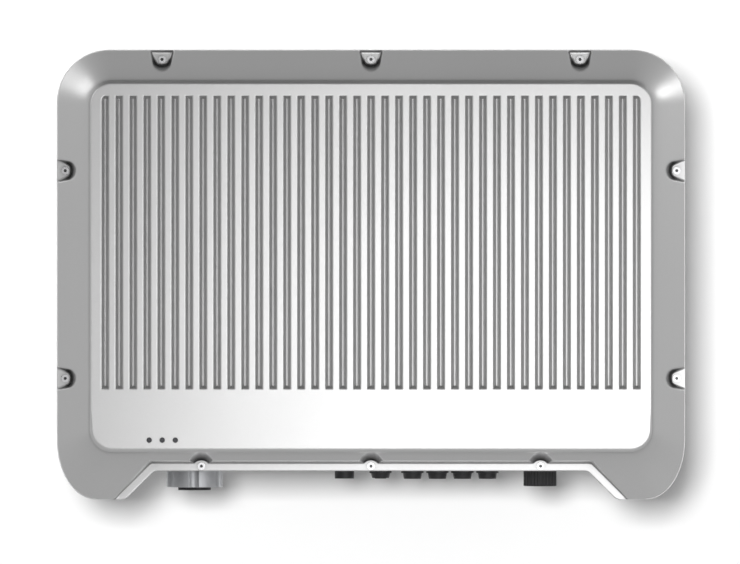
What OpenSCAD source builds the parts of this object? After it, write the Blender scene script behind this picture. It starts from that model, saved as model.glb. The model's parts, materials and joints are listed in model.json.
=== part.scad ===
// String inverter that hangs on a steel wall bracket.
// X runs to the right, Z runs up, and the wall is the plane y = 0.
// The origin is the middle of the bracket's four holes.
// A "depth" is a distance out from the wall, so a point at depth d has y = -d.

/* [Enclosure] */
// Width of the flange and the front cover
body_w = 570; // [540:2:700]
// Height from the feet to the top edge
body_h = 408; // [396:2:500]
// Radius of the two top corners
top_corner_r = 48; // [40:1:60]
// Width of each rounded bottom corner
foot_corner_w = 35; // [30:1:40]
// Height of each rounded bottom corner
foot_corner_h = 54; // [40:1:70]
// Width of each foot, from the side of the body to its inner corner
foot_w = 62.5; // [58:0.5:80]
// Height of the connector recess between the feet
recess_h = 25.7; // [20:0.1:34]
// Wall thickness of the cast housing
wall = 4; // [3:0.5:6]
// Distance from the flange's edge in to the housing wall
flange_overhang = 12; // [12:0.5:16]
// Depth of the seam between the housing and the cover
seam_d = 160; // [152:1:190]
// Thickness of the housing's flange
flange_t = 6; // [4:0.5:8]

/* [Front cover] */
// Thickness of the cover's own flange
cover_flange_t = 4; // [3:0.5:6]
// Width of the bare flange strip along the connector recess
strip_w = 7.7; // [6:0.1:9]
// Height of the bezel's outer edge above the flange
rim_h = 4; // [2:0.5:6]
// Rise of the sloping bezel from its outer edge to the panel
bezel_rise = 26; // [20:1:34]
// Distance from the sides and the top in to the panel
panel_margin = 30.7; // [28:0.1:40]
// Distance from the feet's underside up to the panel
panel_foot_margin = 47; // [42:1:60]
// Corner radius of the panel
panel_corner_r = 20; // [12:1:30]
// Thickness of the panel, grooves included
panel_t = 10.5; // [9.5:0.5:16]

/* [Grooves] */
// Number of vertical grooves
groove_count = 39; // [21:2:39]
// Distance from one groove to the next
groove_pitch = 12.65; // [9:0.05:12.8]
// Width of a groove at the panel's face
groove_w = 6.9; // [4:0.1:7.4]
// Width of a groove's floor
groove_floor_w = 2.4; // [1:0.1:3]
// Depth of a groove
groove_depth = 7; // [4:0.5:7]
// Distance from the top edge down to the grooves
groove_top_margin = 41.5; // [38:0.5:60]
// Distance from the feet's underside up to the grooves
groove_foot_margin = 99.6; // [90:0.1:140]

/* [Heat sink and hanging] */
// Width of the heat sink's base
sink_w = 470; // [460:5:480]
// Height of the heat sink's base
sink_h = 300; // [290:5:310]
// Thickness of the heat sink's base
sink_t = 8; // [6:0.5:12]
// Length of a cooling fin, out from the base
fin_h = 38; // [30:1:44]
// Thickness of a cooling fin
fin_t = 2.5; // [1.5:0.1:4]
// Distance from one fin to the next
fin_pitch = 12; // [10:0.5:16]
// Width of the wall bracket
bracket_w = 300; // [280:5:340]
// Sheet thickness of the wall bracket
bracket_t = 2.5; // [2:0.5:3]
// Horizontal distance between the wall screws
wall_hole_dx = 260; // [220:5:264]
// Vertical distance between the wall screws
wall_hole_dz = 160; // [120:5:170]
// Radius of a hole for a wall screw
wall_hole_r = 4.5; // [3:0.25:5.5]

/* [Connectors] */
// Depth of the row of connectors
connector_d = 110; // [104:1:118]
// Radius of the mains gland's lobed nut
ac_nut_r = 25.5; // [24:0.5:28]
// Radius of the cable hole in the mains gland's seal
ac_cable_r = 9; // [5:0.5:10]
// Radius of the cable hole in the data gland's seal
data_cable_r = 2.5; // [1.5:0.25:3]
// Distance between neighbouring solar sockets
pv_pitch = 22.8; // [21.5:0.1:25]
// Radius of a solar socket's opening
pv_bore_r = 6; // [4:0.25:6.5]
// Radius of the isolator knob
knob_r = 15; // [12:0.5:18]

/* [Hidden] */
$fn = 64;

// Clearances: a thread or pressed pin in its hole, a turning fit, and two pieces that must never rub
thread_gap = 0.05;
turn_gap = 0.05;
free_gap = 0.3;
// How far a cut runs past the face that it opens
cut = 1;

half_w = body_w / 2;
top_z = body_h / 2;
foot_z = -body_h / 2;
recess_z = foot_z + recess_h;
foot_fillet = 8;
recess_fillet = 9;
arc_steps = 10;

// Depths from the wall outwards
fin_tip_d = 15;
sink_back_d = fin_tip_d + fin_h;
sink_front_d = sink_back_d + sink_t;
sink_seal_t = 1;
floor_back_d = sink_front_d + sink_seal_t;
floor_d = floor_back_d + wall;
shelf_d = seam_d + cover_flange_t;
rim_d = shelf_d + rim_h;
panel_d = rim_d + bezel_rise;
roof_d = panel_d - panel_t;

// Insets from the outline
bezel_inset = 1.2;
seal_land = 8;
gasket_t = 2;
gasket_w = 4;
gasket_inset = flange_overhang + (seal_land - gasket_w) / 2;
cavity_inset = flange_overhang + wall;
mouth_inset = flange_overhang + seal_land;
mouth_depth = 10;
// The underside of the housing's bottom wall, and its inner face
base_z = recess_z + flange_overhang;
inside_z = base_z + wall;

// Panel and grooves
panel_half_w = half_w - panel_margin;
panel_top_z = top_z - panel_margin;
panel_foot_z = foot_z + panel_foot_margin;
panel_edge = 1.5;
roof_inset = 2;
groove_z = [foot_z + groove_foot_margin, top_z - groove_top_margin];
groove_run = 5;

// Cover screws: how far in from the outline, and where along it
cover_screw_r = 2;
cover_head_r = 3.5;
cover_head_h = 3;
top_screw_inset = 8.9;
side_screw_inset = 7.7;
recess_screw_inset = 4.5;
top_screw_x = body_w / 3 - 0.5;
side_screw_z = 94.2;
recess_screw_x = 153.8;
scoop_r = 4.6;
notch_r = 5;

// Indicator lights
led_x = [for (i = [0:2]) -half_w + 84.4 + 11.8 * i];
led_z = foot_z + 54.2;
lens_r = 2.25;
lens_flange_r = 3.6;
lens_flange_t = 1.5;
led_t = 1.5;
led_board_t = 1.6;
led_board_d = roof_d - 7.5;
led_face_d = led_board_d + led_board_t;
led_boss_x = [led_x[0] - 14, led_x[2] + 14];
led_board_z = [led_z - 3.5, led_z + 11];
led_boss_z = led_z + 4;
led_boss_r = 3.2;
small_screw_r = 1.5;
small_head_r = 2.8;
small_head_h = 2;

// Heat sink
sink_z = 15;
sink_margin = 24;
fin_count = 2 * floor((sink_w / 2 - sink_margin) / fin_pitch) + 1;
sink_lap = 20;
sink_screw_r = 2.5;
sink_screw_x = sink_w / 2 - 10;
sink_screw_z = sink_h / 2 - 10;
sink_screw_at = concat(
    [for (i = [-2:2], s = [-1, 1]) [i * sink_screw_x / 2, sink_z + s * sink_screw_z]],
    [for (i = [-1, 1], s = [-1, 1]) [s * sink_screw_x, sink_z + i * sink_screw_z / 3]]
);
boss_w = 36;
boss_top_z = 126;

// Hanging: the bracket's two tabs carry the rail
rail_t = 3;
hang_x = 110;
tab_w = 50;
shelf_z = 100;
tab_top_z = 122.5;
hook_gap = 1;
tab_d = 8.5;
rail_screw_reach = 12;
rail_lip_d = tab_d - hook_gap - rail_t;
rail_lip_z = 108;
rail_foot_z = 92;
rail_half_w = 145;
rail_screw_z = 104;
bracket_foot_z = -95;
bracket_rib_d = 8;
bumper_z = -78;
bumper_r = 9;
bumper_boss = 26;

// Boards and what stands on them
board_t = 1.6;
board_d = sink_front_d + 24;
board_face_d = board_d + board_t;
board_half_w = 213;
board_z = [sink_z - sink_h / 2 + 25, sink_z + sink_h / 2 - 87];
board_screw_x = [-204, 0, 204];
board_screw_z = [board_z[0] + 8, board_z[1] - 11];
standoff_r = 5;
control_d = board_face_d + 56;
control_face_d = control_d + board_t;
control_x = [-205, -25];
control_z = [-78, 62];
control_inset = 6;
pillar_r = 3;
pad_t = 1;
module_t = 12;
module_back_d = sink_front_d + pad_t;
module_x = [-140, 0, 140];
module_z = -30;
module_w = 62;
module_lug_w = 12;
module_span = module_w + 2 * module_lug_w;
module_h = 40;
lug_t = 4;
lug_hole_r = cover_screw_r + 0.2;
lug_x = [for (x = module_x, s = [-1, 1]) x + s * (module_w + module_lug_w) / 2];
can_x = [for (i = [-2:2]) 84 * i];
can_w = 78;
can_h = 56;
can_z = 112;
can_depth = 70;
can_t = 2;
potting_d = sink_front_d + can_depth - 6;
terminal_z = board_z[0] + 2;
terminal_h = 22;
relay_x = -182;
relay_w = 16;
relay_pitch = 22;
relay_z = [terminal_z + terminal_h + 6, terminal_z + terminal_h + 34];
choke_places = [[20, -52], [92, -52]];

// Connectors along the bottom
ac_x = -161;
vent_x = -24.2;
data_x = 8.7;
pv_x = [for (i = [0:3]) 37.8 + pv_pitch * i];
switch_x = 154.2;
earth_x = -95;
foot_of_ac_nut = recess_z - 15.5;
foot_of_ac_seal = recess_z - 18.2;
foot_of_pv = recess_z - 8;
foot_of_data = recess_z - 7.2;
foot_of_vent = recess_z - 7.7;
foot_of_knob = recess_z - 14.6;
locknut_t = 6;

// Mains gland
ac_flange_t = 4;
ac_neck_r = 18;
ac_stem_r = 16;
ac_bore_r = 12;
ac_lip = 3.3;
ac_lip_bore_r = 15.2;
ac_lobes = 6;

// Data gland
data_flange_t = 3;
data_nut_r = 10.15;
data_neck_r = 7;
data_stem_r = 6;
data_bore_r = 4.2;
data_lip = 2;
data_lip_bore_r = 5.5;

// Solar sockets
pv_stem_r = 8;
pv_flange_r = 10.25;
pv_tail_z = inside_z + 14;

// Isolator
shaft_r = 4;
switch_w = 44;
switch_top_z = inside_z + 50;
switch_block_z = board_z[0] + 9.7;
plate_t = 2;
knob_flutes = 30;
wire_r = 2.4;

function arc(cx, cz, rx, rz, a0, a1, n = arc_steps) =
    [for (i = [0:n]) let (a = a0 + (a1 - a0) * i / n) [cx + rx * cos(a), cz + rz * sin(a)]];

// A left half, from top to bottom, and its mirror image, as one closed outline
function both_sides(left) =
    concat(left, [for (i = [len(left) - 1:-1:0]) [-left[i][0], left[i][1]]]);

// The enclosure's outline, moved in by e along the sides, top and feet, and by r along the recess
function outline(e, r) =
    let (
        k = tan(22.5),
        c = foot_w - half_w - foot_z - r * sqrt(2),
        rf = max(foot_fillet - e, 1),
        rg = recess_fillet + r
    )
    both_sides(concat(
        arc(top_corner_r - half_w, top_z - top_corner_r, top_corner_r - e, top_corner_r - e, 90, 180),
        arc(foot_corner_w - half_w, foot_z + foot_corner_h, foot_corner_w - e, foot_corner_h - e, 180, 270),
        arc(foot_z + e + c - k * rf, foot_z + e + rf, rf, rf, -90, -45, 3),
        arc(recess_z + r + c + k * rg, recess_z + r - rg, rg, rg, 135, 90, 4)
    ));

// The bezel's outer edge, which ignores the recess
function rim_outline(e) =
    both_sides(concat(
        arc(top_corner_r - half_w, top_z - top_corner_r, top_corner_r - e, top_corner_r - e, 90, 180),
        arc(foot_corner_w - half_w, foot_z + foot_corner_h, foot_corner_w - e, foot_corner_h - e, 180, 270)
    ));

function panel_outline(e) =
    let (r = panel_corner_r - e, x = panel_corner_r - panel_half_w)
    both_sides(concat(
        arc(x, panel_top_z - panel_corner_r, r, r, 90, 180),
        arc(x, panel_foot_z + panel_corner_r, r, r, 180, 270)
    ));

// Share of the bezel's rise at a share t of its width: it steepens towards the panel
function bezel_profile(t) = 0.55 * t + 0.45 * t * t;

function mix(a, b, t) = a + (b - a) * t;

// Corners of an upright rectangle round x, in the same turning sense as the outlines
function rectangle(x, half, low, high) =
    [[x - half, high], [x - half, low], [x + half, low], [x + half, high]];

// Points of a flat outline, put at one depth
function at_depth(outline_points, d) = [for (p = outline_points) [p[0], -d, p[1]]];

function bezel_ring(t) =
    let (
        a = rim_outline(bezel_inset),
        b = panel_outline(0),
        d = rim_d + (bezel_rise - panel_edge) * bezel_profile(t)
    )
    at_depth([for (i = [0:len(a) - 1]) mix(a[i], b[i], t)], d);

// Outline of a screw pocket at height h above its floor.
// It is an arc round the screw and two sides that flare towards the edge.
// inset is the screw's distance from the edge, from is where the pocket starts.
function pocket(inset, from, r, draft, flare, h) =
    let (q = r + draft * h, w = q * cos(flare) + (inset + q * sin(flare) - from) * tan(flare))
    concat([[w, from]], arc(0, inset, q, q, flare, 180 - flare, 8), [[-w, from]]);

// Range of a given width round a middle
function span(middle, width) = [middle - width / 2, middle + width / 2];

// Solid through a list of rings, each with the same number of points, from the wall side to the front
module loft(rings) {
    n = len(rings[0]);
    last = (len(rings) - 1) * n;
    polyhedron(
        points = [for (ring = rings) each ring],
        faces = concat(
            [[for (i = [0:n - 1]) i]],
            [for (k = [0:len(rings) - 2], i = [0:n - 1]) each [
                [k * n + i, k * n + n + i, k * n + n + (i + 1) % n],
                [k * n + i, k * n + n + (i + 1) % n, k * n + (i + 1) % n]
            ]],
            [[for (i = [n - 1:-1:0]) last + i]]
        )
    );
}

// Extrudes a flat shape in X and Z from depth d0 to depth d1
module slab(d0, d1) {
    translate([0, -d0, 0]) rotate([90, 0, 0]) linear_extrude(d1 - d0) children();
}

// Box from ranges of x, depth and z
module box(x, d, z) {
    translate([x[0], -d[1], z[0]]) cube([x[1] - x[0], d[1] - d[0], z[1] - z[0]]);
}

// Round bar along the depth, from d0 to d1
module bar(x, z, d0, d1, r) {
    translate([x, -d0, z]) rotate([90, 0, 0]) cylinder(h = d1 - d0, r = r);
}

// Upright round column in the connector row, from z0 to z1
module column(x, z0, z1, r) {
    translate([x, -connector_d, z0]) cylinder(h = z1 - z0, r = r);
}

// Upright taper in the connector row, with radius r0 at z0 and r1 at z1
module taper(x, z0, z1, r0, r1) {
    translate([x, -connector_d, z0]) cylinder(h = z1 - z0, r1 = r0, r2 = r1);
}

// Hexagonal nut in the connector row, measured across its corners
module hexagon(x, z0, z1, r) {
    translate([x, -connector_d, z0]) cylinder(h = z1 - z0, r = r, $fn = 6);
}

module ring(x, z0, z1, r_out, r_in) {
    difference() {
        column(x, z0, z1, r_out);
        column(x, z0 - cut, z1 + cut, r_in);
    }
}

// Hexagonal bar along the depth, measured across its corners
module hex_bar(x, z, d0, d1, r) {
    translate([x, -d0, z]) rotate([90, 0, 0]) cylinder(h = d1 - d0, r = r, $fn = 6);
}

// Screw along the depth: its head's seat is at depth seat, and its point is towards the wall at depth tip
module socket_screw(x, z, tip, seat, r, head_r, head_h) {
    difference() {
        union() {
            bar(x, z, tip, seat, r - thread_gap);
            bar(x, z, seat, seat + head_h, head_r);
        }
        hex_bar(x, z, seat + head_h * 0.4, seat + head_h + cut, head_r * 0.43);
    }
}

module small_screw(x, z, tip, seat) {
    socket_screw(x, z, tip, seat, small_screw_r, small_head_r, small_head_h);
}

module cap_screw(x, z, tip, seat) {
    socket_screw(x, z, tip, seat, cover_screw_r, cover_head_r, cover_head_h);
}

// Children on a circle of radius r round the upright axis at x in the connector row, starting at height z
module around(x, z, r, count, first = 0) {
    for (i = [0:count - 1]) {
        a = first + 360 * i / count;
        translate([x + r * cos(a), -connector_d + r * sin(a), z]) children();
    }
}

/* ---- Hanging ---- */

module wall_bracket() {
    color("gainsboro") difference() {
        union() {
            box([-bracket_w / 2, bracket_w / 2], [0, bracket_t], [bracket_foot_z, shelf_z]);
            for (side = [-1, 1]) {
                x = side * (bracket_w - bracket_t) / 2;
                rib = [x - bracket_t / 2, x + bracket_t / 2];
                box(rib, [0, bracket_rib_d], [bracket_foot_z, shelf_z - 12]);
                tab = [side * hang_x - tab_w / 2, side * hang_x + tab_w / 2];
                box(tab, [0, tab_d + bracket_t], [shelf_z - bracket_t, shelf_z]);
                box(tab, [tab_d, tab_d + bracket_t], [shelf_z - bracket_t, tab_top_z]);
            }
        }
        for (x = [-1, 1], z = [-1, 1])
            bar(x * wall_hole_dx / 2, z * wall_hole_dz / 2, -cut, bracket_t + cut, wall_hole_r);
    }
}

module rail_screw_places() {
    for (side = [-1, 1], dx = [-10, 10]) translate([side * hang_x + dx, 0, rail_screw_z]) children();
}

// Countersunk screw or its hole in the rail, with gap between the two
module rail_countersink(gap) {
    back = fin_tip_d - rail_t;
    head = 5 - gap;
    neck = sink_screw_r - gap + 0.02;
    translate([0, -back, 0]) rotate([90, 0, 0]) cylinder(h = rail_t, r1 = head, r2 = neck);
    bar(0, 0, fin_tip_d - 0.5, fin_tip_d + rail_screw_reach, sink_screw_r - gap);
}

module hanging_rail() {
    x = [-rail_half_w, rail_half_w];
    top = tab_top_z + rail_t;
    color("silver") difference() {
        union() {
            box(x, [fin_tip_d - rail_t, fin_tip_d], [rail_foot_z, top]);
            box(x, [rail_lip_d, fin_tip_d], [tab_top_z, top]);
            box(x, [rail_lip_d, rail_lip_d + rail_t], [rail_lip_z, top]);
        }
        rail_screw_places() rail_countersink(0);
    }
}

module rail_screws() {
    color("dimgray") rail_screw_places() difference() {
        rail_countersink(thread_gap);
        hex_bar(0, 0, fin_tip_d - rail_t - cut, fin_tip_d - rail_t + 2, 1.5);
    }
}

module rear_bumpers() {
    color("black") for (side = [-1, 1])
        bar(side * hang_x, bumper_z, bracket_t + free_gap, fin_tip_d, bumper_r);
}

/* ---- Heat sink and housing ---- */

module sink_screw_places() {
    for (p = sink_screw_at) translate([p[0], 0, p[1]]) children();
}

module board_screw_places() {
    for (x = board_screw_x, z = board_screw_z) translate([x, 0, z]) children();
}

module heat_sink() {
    z = [sink_z - sink_h / 2, sink_z + sink_h / 2];
    fin_z = [z[0] + sink_margin, z[1] - sink_margin];
    fin_d = [fin_tip_d, sink_back_d + cut];
    color("lightgray") difference() {
        union() {
            box([-sink_w / 2, sink_w / 2], [sink_back_d, sink_front_d], z);
            for (i = [0:fin_count - 1]) {
                x = (i - (fin_count - 1) / 2) * fin_pitch;
                box([x - fin_t / 2, x + fin_t / 2], fin_d, fin_z);
            }
            for (x = [-hang_x, hang_x]) {
                box([x - boss_w / 2, x + boss_w / 2], fin_d, [rail_foot_z, boss_top_z]);
                box([x - bumper_boss / 2, x + bumper_boss / 2], fin_d,
                    [bumper_z - bumper_boss / 2, bumper_z + bumper_boss / 2]);
            }
            board_screw_places() bar(0, 0, sink_front_d - cut, board_d, standoff_r);
        }
        sink_screw_places() bar(0, 0, sink_back_d - cut, sink_front_d + cut, sink_screw_r + thread_gap);
        rail_screw_places() bar(0, 0, fin_tip_d - cut, fin_tip_d + rail_screw_reach + 2, sink_screw_r);
        board_screw_places() bar(0, 0, board_d - 10, board_d + cut, small_screw_r);
        for (x = lug_x) bar(x, module_z, sink_front_d - 6, sink_front_d + cut, cover_screw_r);
    }
}

module heat_sink_seal() {
    color("dimgray") slab(sink_front_d, floor_back_d) difference() {
        translate([0, sink_z]) square([sink_w, sink_h], center = true);
        sink_window();
        for (p = sink_screw_at) translate(p) circle(sink_screw_r + 2 * thread_gap);
    }
}

// Opening in the housing's floor, behind which the heat sink's base lies bare
module sink_window() {
    translate([0, sink_z]) square([sink_w - 2 * sink_lap, sink_h - 2 * sink_lap], center = true);
}

module heat_sink_screws() {
    color("silver") sink_screw_places() difference() {
        union() {
            bar(0, 0, sink_back_d, floor_d, sink_screw_r - thread_gap);
            bar(0, 0, sink_back_d - 4, sink_back_d, 4.2);
        }
        hex_bar(0, 0, sink_back_d - 4 - cut, sink_back_d - 1.5, 2);
    }
}

// Every opening that the connectors need through the housing's bottom wall
module base_openings() {
    z = [base_z - cut, inside_z + cut];
    column(ac_x, z[0], z[1], ac_stem_r + thread_gap);
    column(data_x, z[0], z[1], data_stem_r + thread_gap);
    column(vent_x, z[0], z[1], 5 + thread_gap);
    for (x = pv_x) column(x, z[0], z[1], pv_stem_r + thread_gap);
    column(switch_x, z[0], z[1], shaft_r + 2.5);
    column(earth_x, z[0], z[1], 3);
}

module rear_housing() {
    color("silver") difference() {
        union() {
            slab(floor_back_d, seam_d) polygon(outline(flange_overhang, flange_overhang));
            slab(seam_d - flange_t, seam_d) polygon(outline(0.8, 0.8));
        }
        slab(floor_d, seam_d - mouth_depth) polygon(outline(cavity_inset, cavity_inset));
        slab(seam_d - mouth_depth - cut, seam_d + cut) polygon(outline(mouth_inset, mouth_inset));
        slab(floor_back_d - cut, floor_d + cut) sink_window();
        slab(seam_d - gasket_t, seam_d + cut) gasket_shape();
        sink_screw_places() bar(0, 0, floor_back_d - cut, floor_d + cut, sink_screw_r);
        cover_screw_places() bar(0, 0, seam_d - flange_t - cut, seam_d + cut, cover_screw_r);
        base_openings();
    }
}

module gasket_shape() {
    difference() {
        polygon(outline(gasket_inset, gasket_inset));
        polygon(outline(gasket_inset + gasket_w, gasket_inset + gasket_w));
    }
}

module cover_gasket() {
    color("black") slab(seam_d - gasket_t, seam_d) gasket_shape();
}

/* ---- Front cover ---- */

module cover_screw_places() {
    for (x = [-1, 0, 1]) {
        translate([x * top_screw_x, 0, top_z - top_screw_inset]) children();
        translate([x * recess_screw_x, 0, recess_z + recess_screw_inset]) children();
    }
    side_x = half_w - side_screw_inset;
    for (x = [-side_x, side_x], z = [-side_screw_z, side_screw_z]) translate([x, 0, z]) children();
}

// Pocket as a solid: its flat outline stands with the edge below and the middle of the enclosure above
module pocket_cut(inset, from, r, draft, flare, h) {
    loft([at_depth(pocket(inset, from, r, draft, flare, 0), shelf_d),
          at_depth(pocket(inset, from, r, draft, flare, h), shelf_d + h)]);
}

module front_cover() {
    tall = panel_d - shelf_d + cut;
    color("silver") difference() {
        union() {
            slab(seam_d, shelf_d) polygon(outline(0, 0));
            intersection() {
                loft(concat(
                    [at_depth(rim_outline(bezel_inset), shelf_d - cut)],
                    [for (t = [0, 0.3, 0.6, 0.85, 1]) bezel_ring(t)],
                    [at_depth(panel_outline(panel_edge), panel_d)]
                ));
                slab(seam_d, panel_d + cut) polygon(outline(bezel_inset, strip_w));
            }
        }
        slab(seam_d - cut, shelf_d + 6) polygon(outline(mouth_inset, mouth_inset));
        slab(seam_d - cut, roof_d) polygon(panel_outline(roof_inset));
        for (i = [0:groove_count - 1]) groove_cut((i - (groove_count - 1) / 2) * groove_pitch);
        for (x = [-1, 0, 1]) {
            translate([x * top_screw_x, 0, top_z]) rotate([0, 180, 0])
                pocket_cut(top_screw_inset, 3.2, scoop_r, 0.325, 32, tall);
            translate([x * recess_screw_x, 0, recess_z])
                pocket_cut(recess_screw_inset, -cut, notch_r, 0.246, 53, tall);
        }
        for (side = [-1, 1], z = [-1, 1] * side_screw_z)
            translate([side * half_w, 0, z]) rotate([0, -90 * side, 0])
                pocket_cut(side_screw_inset, -cut, scoop_r, 0.325, 32, tall);
        cover_screw_places() bar(0, 0, seam_d - cut, shelf_d + cut, cover_screw_r + 0.2);
        for (x = led_x) bar(x, led_z, roof_d - cut, panel_d + cut, lens_r);
        for (x = led_boss_x) bar(x, led_boss_z, roof_d - cut, roof_d + 4, small_screw_r);
    }
    color("silver") for (x = led_boss_x) difference() {
        bar(x, led_boss_z, led_face_d, roof_d, led_boss_r);
        bar(x, led_boss_z, led_board_d, roof_d + cut, small_screw_r);
    }
}

module groove_cut(x) {
    spread = (groove_w - groove_floor_w) / 2 / groove_depth * (groove_depth + cut);
    run = groove_run / groove_depth * (groove_depth + cut);
    low = groove_z[0] + groove_run;
    high = groove_z[1] - groove_run;
    loft([
        at_depth(rectangle(x, groove_floor_w / 2, low, high), panel_d - groove_depth),
        at_depth(rectangle(x, groove_floor_w / 2 + spread, low - run, high + run), panel_d + cut)
    ]);
}

module cover_screws() {
    color("lightgray") cover_screw_places() cap_screw(0, 0, seam_d - flange_t - 2, shelf_d);
}

/* ---- Indicator lights ---- */

module indicator_lenses() {
    color("dimgray") for (x = led_x) {
        bar(x, led_z, roof_d - lens_flange_t, roof_d, lens_flange_r);
        bar(x, led_z, roof_d - lens_flange_t, panel_d + 0.3, lens_r - thread_gap);
    }
}

module indicator_board() {
    color("darkgreen") difference() {
        box([led_boss_x[0] - 5, led_boss_x[1] + 5], [led_board_d, led_face_d], led_board_z);
        for (x = led_boss_x) bar(x, led_boss_z, led_board_d - cut, led_face_d + cut, small_screw_r + 0.1);
    }
}

module indicator_leds() {
    top = led_face_d + led_t;
    color("white") for (x = led_x) {
        box([x - 1.75, x + 1.75], [led_face_d, top], [led_z - 1.4, led_z + 1.4]);
        translate([x, -top, led_z]) rotate([90, 0, 0])
            cylinder(h = roof_d - lens_flange_t - top, r1 = 1.3, r2 = 0.8);
    }
}

module indicator_board_screws() {
    color("silver") for (x = led_boss_x) difference() {
        union() {
            bar(x, led_boss_z, led_board_d, roof_d + 3, small_screw_r - thread_gap);
            bar(x, led_boss_z, led_board_d - small_head_h, led_board_d, small_head_r);
        }
        hex_bar(x, led_boss_z, led_board_d - small_head_h - cut, led_board_d - 0.8, 1.2);
    }
}

// Flat cable from a socket behind the indicator board to a socket on the control board
module ribbon_cable() {
    lights_x = led_x[1] + 4;
    control_end_x = control_x[0] + 20.2;
    near = led_board_d - 5;
    far = control_face_d + 5;
    low = led_z + 6;
    high = control_z[0] + 12;
    fold = (near + far) / 2;
    w = 16;
    t = 0.9;
    color("silver") {
        box(span(lights_x, w), [near, near + t], [low - 2, low + 2]);
        box(span(lights_x, w), [fold, near + t], [low, low + t]);
        box([min(lights_x, control_end_x) - w / 2, max(lights_x, control_end_x) + w / 2],
            [fold, fold + t], [low, low + w]);
        box(span(control_end_x, w), [fold, fold + t], [low, high]);
        box(span(control_end_x, w), [far, fold + t], [high - t, high]);
    }
    color("black") {
        box(span(lights_x, w + 4), [near + t, led_board_d], [low - 3, low + 3]);
        box(span(control_end_x, w + 4), [control_face_d, far], [high - 5, high + 3]);
    }
}

/* ---- Power electronics ---- */

module power_board() {
    color("darkgreen") difference() {
        box([-board_half_w, board_half_w], [board_d, board_face_d], board_z);
        board_screw_places() bar(0, 0, board_d - cut, board_face_d + cut, small_screw_r + 0.1);
    }
}

module power_board_screws() {
    color("silver") board_screw_places() small_screw(0, 0, board_d - 8, board_face_d);
}

module power_modules() {
    color("dimgray") {
        difference() {
            for (x = module_x) {
                box(span(x, module_w), [module_back_d, module_back_d + module_t], span(module_z, module_h));
                box(span(x, module_span), [module_back_d, module_back_d + lug_t], span(module_z, 16));
            }
            for (x = lug_x) bar(x, module_z, module_back_d - cut, module_back_d + lug_t + cut, lug_hole_r);
        }
        for (x = module_x, i = [-3:3], s = [-1, 1])
            bar(x + 8 * i, module_z + s * 15, module_back_d + module_t, board_d, 0.8);
    }
}

module module_screws() {
    color("silver") for (x = lug_x) cap_screw(x, module_z, sink_front_d - 5, module_back_d + lug_t);
}

module thermal_pads() {
    color("plum") difference() {
        for (x = module_x) box(span(x, module_span), [sink_front_d, module_back_d], span(module_z, module_h));
        for (x = lug_x) bar(x, module_z, sink_front_d - cut, module_back_d + cut, lug_hole_r);
    }
}

module inductor_cans() {
    color("silver") for (x = can_x) difference() {
        box(span(x, can_w), [sink_front_d, sink_front_d + can_depth], span(can_z, can_h));
        box(span(x, can_w - 2 * can_t), [sink_front_d + can_t, sink_front_d + can_depth + cut],
            span(can_z, can_h - 2 * can_t));
    }
}

module inductor_potting() {
    color("black") for (x = can_x)
        box(span(x, can_w - 2 * can_t), [sink_front_d + can_t, potting_d], span(can_z, can_h - 2 * can_t));
}

module inductor_terminals() {
    color("chocolate") for (x = can_x, s = [-1, 1]) {
        bar(x + s * 24, can_z, potting_d, potting_d + 14, 2.2);
        bar(x + s * 24, can_z, potting_d + 3, potting_d + 6, 4);
    }
}

module dc_link_capacitors() {
    color("steelblue") for (i = [0:3], j = [0:1]) {
        x = 35 + 36 * i;
        z = 8 + 36 * j;
        bar(x, z, board_face_d, board_face_d + 48, 15);
        bar(x, z, board_face_d + 48, board_face_d + 49, 13);
    }
}

module film_capacitors() {
    color("khaki") for (i = [0:2])
        box([-150 + 40 * i, -118 + 40 * i], [board_face_d, board_face_d + 38], [22, 50]);
}

module output_relays() {
    color("midnightblue") for (i = [0:5])
        box(span(relay_x + relay_pitch * i, relay_w), [board_face_d, board_face_d + 26], relay_z);
}

module current_sensors() {
    color("black") for (i = [0:2]) difference() {
        box([-196 + 44 * i, -172 + 44 * i], [board_face_d, board_face_d + 24], [-8, 6]);
        translate([-184 + 44 * i, -board_face_d - 14, -8 - cut]) cylinder(h = 14 + 2 * cut, r = 5);
    }
}

// Two ring cores on insulating plates
module emi_chokes() {
    for (p = choke_places) {
        color("seagreen") translate([p[0], -board_face_d - 14, p[1]]) rotate([90, 0, 0])
            rotate_extrude() translate([17, 0]) square([14, 22], center = true);
        color("white") bar(p[0], p[1], board_face_d, board_face_d + 3, 26);
    }
}

module ac_terminal_block() {
    color("lightgray") difference() {
        box(span(ac_x, 68), [board_face_d, board_face_d + 30], [terminal_z, terminal_z + terminal_h]);
        for (x = [for (i = [-2:2]) ac_x + 12.5 * i]) {
            column(x, terminal_z - cut, terminal_z + 15, 3.6);
            bar(x, terminal_z + terminal_h / 2, board_face_d + 22, board_face_d + 30 + cut, 3);
        }
    }
}

module dc_terminal_blocks() {
    color("lightgray") {
        difference() {
            box([pv_x[0] - 9, pv_x[3] + 9], [board_face_d, connector_d + 8],
                [terminal_z, terminal_z + terminal_h]);
            for (x = pv_x) column(x, terminal_z - cut, terminal_z + 10, wire_r + 2 * thread_gap);
        }
        difference() {
            box(span(switch_x, 40), [board_face_d, connector_d + 10], [switch_block_z, switch_block_z + 18]);
            switch_lead_places(switch_block_z - cut) cylinder(h = 8 + cut, r = wire_r + 2 * thread_gap);
        }
    }
}

/* ---- Control electronics ---- */

module control_corners() {
    xs = [control_x[0] + control_inset, control_x[1] - control_inset];
    zs = [control_z[0] + control_inset, control_z[1] - control_inset];
    for (x = xs, z = zs) translate([x, 0, z]) children();
}

module control_board() {
    color("darkgreen") difference() {
        box(control_x, [control_d, control_face_d], control_z);
        control_corners() bar(0, 0, control_d - cut, control_face_d + cut, small_screw_r + 0.1);
    }
}

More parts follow.
